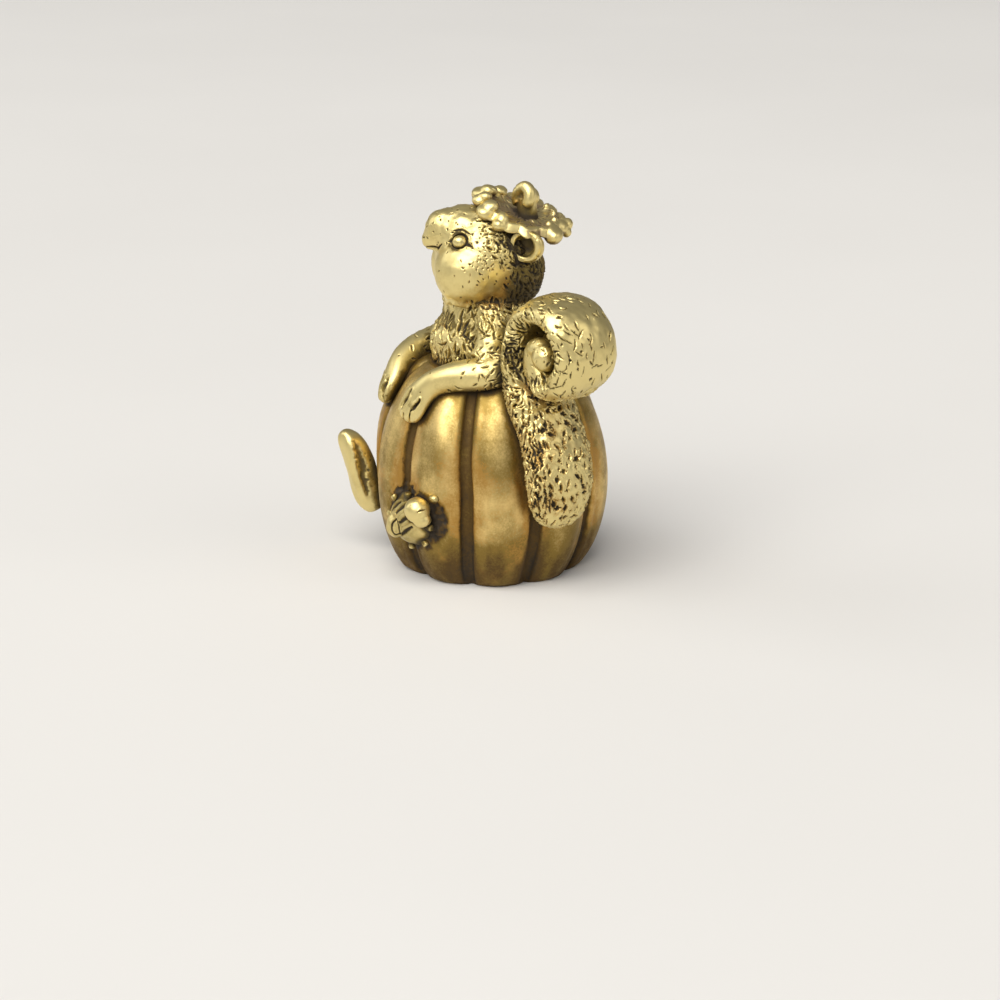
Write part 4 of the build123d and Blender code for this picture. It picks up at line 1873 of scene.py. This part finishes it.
@dataclass
class Ladybird:
    """The ladybird on the pumpkin's side.

    Attributes:
        spot: the middle of the shell's tail end, where the ring is.
        tail_end: half lengths of the lump there.
        dashes: the dashes on the shell.
        smile: the line on the head.
        chin: the middle of the lump under the smile.
        chin_radii: its half lengths.
        leg: the middle of the leg beside the head.
        leg_radii: its half lengths.
        ring: half the ring's width and half its height.
        voxel: the skin's grain.
    """

    foundry: Foundry
    spot: Spot = (6.98, -9.61, 5.76)
    tail_end: Spot = (0.85, 0.9, 1.2)
    dashes: Tuple[Path, ...] = (
        ((7.5, -9.3, 7.3), (7.75, -8.89, 7.83), (8.1, -8.6, 8.4)),
        ((8.05, -9.1, 6.45), (8.43, -8.57, 6.98), (8.7, -8.3, 7.4)),
        ((7.75, -9.0, 5.1), (8.34, -8.58, 5.69), (8.7, -8.2, 6.1)),
        ((6.6, -9.9, 7.2), (6.9, -9.6, 7.7), (7.2, -9.3, 8.2)),
    )
    smile: Path = ((10.2, -7.6, 8.1), (10.45, -7.25, 8.35), (10.3, -6.85, 8.35))
    chin: Spot = (9.6, -7.15, 7.15)
    chin_radii: Spot = (0.85, 0.85, 0.7)
    leg: Spot = (9.25, -6.0, 9.05)
    leg_radii: Spot = (0.5, 0.55, 0.4)
    ring: Range = (0.5, 0.85)
    voxel: float = 0.06

    def build(self) -> Dict[str, Wax]:
        """The forms of the wing case, the head and the legs.

        Returns:
            The wax of each node.
        """
        centre = np.array(self.spot)
        extra = {
            "ladybird_shell": ball_lump(centre + np.array([-0.25, 0.2, 0]), self.tail_end),
            "ladybird_head": ball_lump(np.array(self.chin), self.chin_radii),
            "ladybird_legs": ball_lump(np.array(self.leg), self.leg_radii),
        }
        waxes: Dict[str, Wax] = {}
        for node, lump in extra.items():
            waxes[node] = Wax([node_lump(node), lump], self.voxel).melt(12).soften(2)
        shell = waxes["ladybird_shell"].roughen(0.06, 0.6, 51)
        turns = np.linspace(0, 2 * math.pi, 48)[:, None]
        wide, tall = self.ring
        ring = centre + np.array([0.6, 0.15, 0])
        ring = ring + wide * np.cos(turns) * np.array([0, 1.0, 0]) + tall * np.sin(turns) * UP
        cuts = Strokes()
        cuts.cut(shell.trace(ring), 0.1, 0.16, 0.5)
        for dash in self.dashes:
            cuts.cut(shell.trace(dash), 0.19, 0.22, 0.2)
        shell.engrave(cuts, 0.3, 1.0, 0.1)
        head = waxes["ladybird_head"].roughen(0.04, 0.5, 52)
        cuts = Strokes()
        cuts.cut(head.trace(self.smile), 0.08, 0.14)
        head.engrave(cuts, 0.3, 1.0, 0.0)
        return waxes

    def dress(self, waxes: Dict[str, Wax]) -> None:
        """Casts the ladybird.

        Args:
            waxes: the form of each node.
        """
        for node, wax in waxes.items():
            tone = self.foundry.age(wax, [node], 0.8)
            if node == "ladybird_shell":
                # The shell is darker all over, and darker still close against the pumpkin with painted
                # shade.
                tone = tone + 0.2 + 0.3 * smooth_fall(from_axis(wax.points), 10.7, 11.3)
            self.foundry.cast(node, wax, tone, Finish.BEAD)


@dataclass
class Tendril:
    """The curled horn on the pumpkin's front.

    Attributes:
        crease: Y and height of points along the dark crease on its left side.
        ridge: the same for the polished ridge.
        voxel: the skin's grain.
    """

    foundry: Foundry
    crease: Tuple[Range, ...] = ((-12.6, 11.4), (-12.15, 9.3), (-12.1, 7.5), (-11.7, 6.0))
    ridge: Tuple[Range, ...] = ((-13.8, 12.1), (-13.1, 9.9), (-12.7, 7.5), (-12.2, 5.8))
    voxel: float = 0.07

    def build(self) -> Wax:
        """The tendril's form.

        Returns:
            Its wax.
        """
        wax = Wax([node_lump("tendril")], self.voxel).melt(90)
        wax.push(0.16 + 0.05 * grain(wax.points, 1.3, 41))
        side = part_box("tendril")[1][0] / MM
        ridge = Strokes()
        ridge.cut(wax.trace([(side, y, z) for y, z in self.ridge]), 0.85, -0.4, 0.1)
        wax.engrave(ridge, 0.0, 0.0, 0.0).melt(20)
        crease = Strokes()
        crease.cut(wax.trace([(side, y, z) for y, z in self.crease]), 0.42, 0.26, 0.05)
        return wax.engrave(crease, 0.0, 0.7, 0.7).melt(6)

    def dress(self, wax: Wax) -> None:
        """Casts the tendril."""
        self.foundry.cast("tendril", wax, self.foundry.age(wax, ["tendril"], 0.9), Finish.BEAD)


@dataclass(frozen=True)
class Lamp:
    """A square soft lamp that faces the figurine.

    Attributes:
        name: the lamp's name.
        azimuth: the side it shines from.
        distance: how far from the figurine's axis it stands, in millimetres.
        height: its height, in millimetres.
        size: its width, in metres.
        power: its power in watts.
        colour: its colour.
    """

    name: str
    azimuth: float
    distance: float
    height: float
    size: float
    power: float
    colour: Spot

    def light(self, aim: Spot) -> None:
        """Sets the lamp in the scene, turned to a point in millimetres.

        Args:
            aim: that point.
        """
        light = bpy.data.lights.new(self.name, "AREA")
        light.size = self.size
        light.energy = self.power
        light.color = self.colour
        place = Point(around(self.azimuth, self.distance, self.height)) * MM
        aimed(self.name, light, place, Point(aim) * MM - place)


@dataclass
class Studio:
    """The pale floor, the soft lamps and the camera at the photograph's angle.

    Attributes:
        lamps: the lamps.
        aim: the point that they face, in millimetres.
        sky: the colour of the light from all sides.
        pale: the floor's lightest colour.
        shaded: its darkest colour.
        camera: the camera's place, in millimetres.
        azimuth: the side it looks from, in degrees from the front.
        pitch: how far it looks down, in degrees.
        lens: its focal length.
        floor: half the floor's width, in metres.
    """

    lamps: Tuple[Lamp, ...] = (
        Lamp("key", 58, 1500, 2000, 2.3, 80.0, (1.0, 0.98, 0.94)),
        Lamp("left", -20, 2200, 1200, 1.6, 12.0, (0.96, 0.98, 1.0)),
        Lamp("right", 150, 2200, 1300, 1.6, 10.0, (1.0, 0.96, 0.9)),
    )
    aim: Spot = (0.0, 0.0, 18.0)
    sky: Colour = (0.22, 0.22, 0.225, 1.0)
    pale: Colour = (0.76, 0.745, 0.72, 1.0)
    shaded: Colour = (0.70, 0.685, 0.66, 1.0)
    camera: Spot = (232.114, -19.489, 81.43)
    azimuth: float = 85.0
    pitch: float = 18.0
    lens: float = 92.6
    floor: float = 2.0

    def build(self) -> None:
        """Lays the floor and sets the lamps and the camera."""
        scene = bpy.context.scene
        scene.view_settings.view_transform = "Standard"
        self.lay_floor()
        world = bpy.data.worlds.new("studio")
        world.use_nodes = True
        world.node_tree.nodes["Background"].inputs["Color"].default_value = self.sky
        scene.world = world
        for lamp in self.lamps:
            lamp.light(self.aim)
        view = bpy.data.cameras.new("camera")
        view.lens = self.lens
        view.clip_start = 0.01
        pitch = math.radians(self.pitch)
        look = Point(around(self.azimuth, -math.cos(pitch), -math.sin(pitch)))
        scene.camera = aimed("camera", view, Point(self.camera) * MM, look)

    def lay_floor(self) -> None:
        """Lays the wide pale floor that keeps the shadow."""
        shape = bmesh.new()
        bmesh.ops.create_grid(shape, x_segments=24, y_segments=24, size=self.floor)
        mesh = settled(shape, "floor")
        graph = Graph("pale_floor")
        place = graph.node("ShaderNodeTexCoord", {}, {}, "Object")
        tint = graph.mix(graph.noise(place, 9.0, 3.0), self.shaded, self.pale)
        surface = graph.node("ShaderNodeBsdfPrincipled", {}, {"Base Color": tint, "Roughness": 0.9})
        graph.node("ShaderNodeOutputMaterial", {}, {"Surface": surface})
        mesh.materials.append(graph.material)
        placed("floor", mesh)


def main() -> None:
    """Builds and dresses the figurine and its studio."""
    logging.basicConfig(level=logging.INFO, format="%(relativeCreated)d %(message)s")
    foundry = Foundry()
    LOG.info("finishes are ready")
    for part in (
        Pumpkin(foundry),
        Squirrel(foundry),
        Tail(foundry),
        Hat(foundry),
        Face(foundry),
        Ladybird(foundry),
        Tendril(foundry),
    ):
        part.dress(part.build())
    Studio().build()


if __name__ == "__main__":
    main()
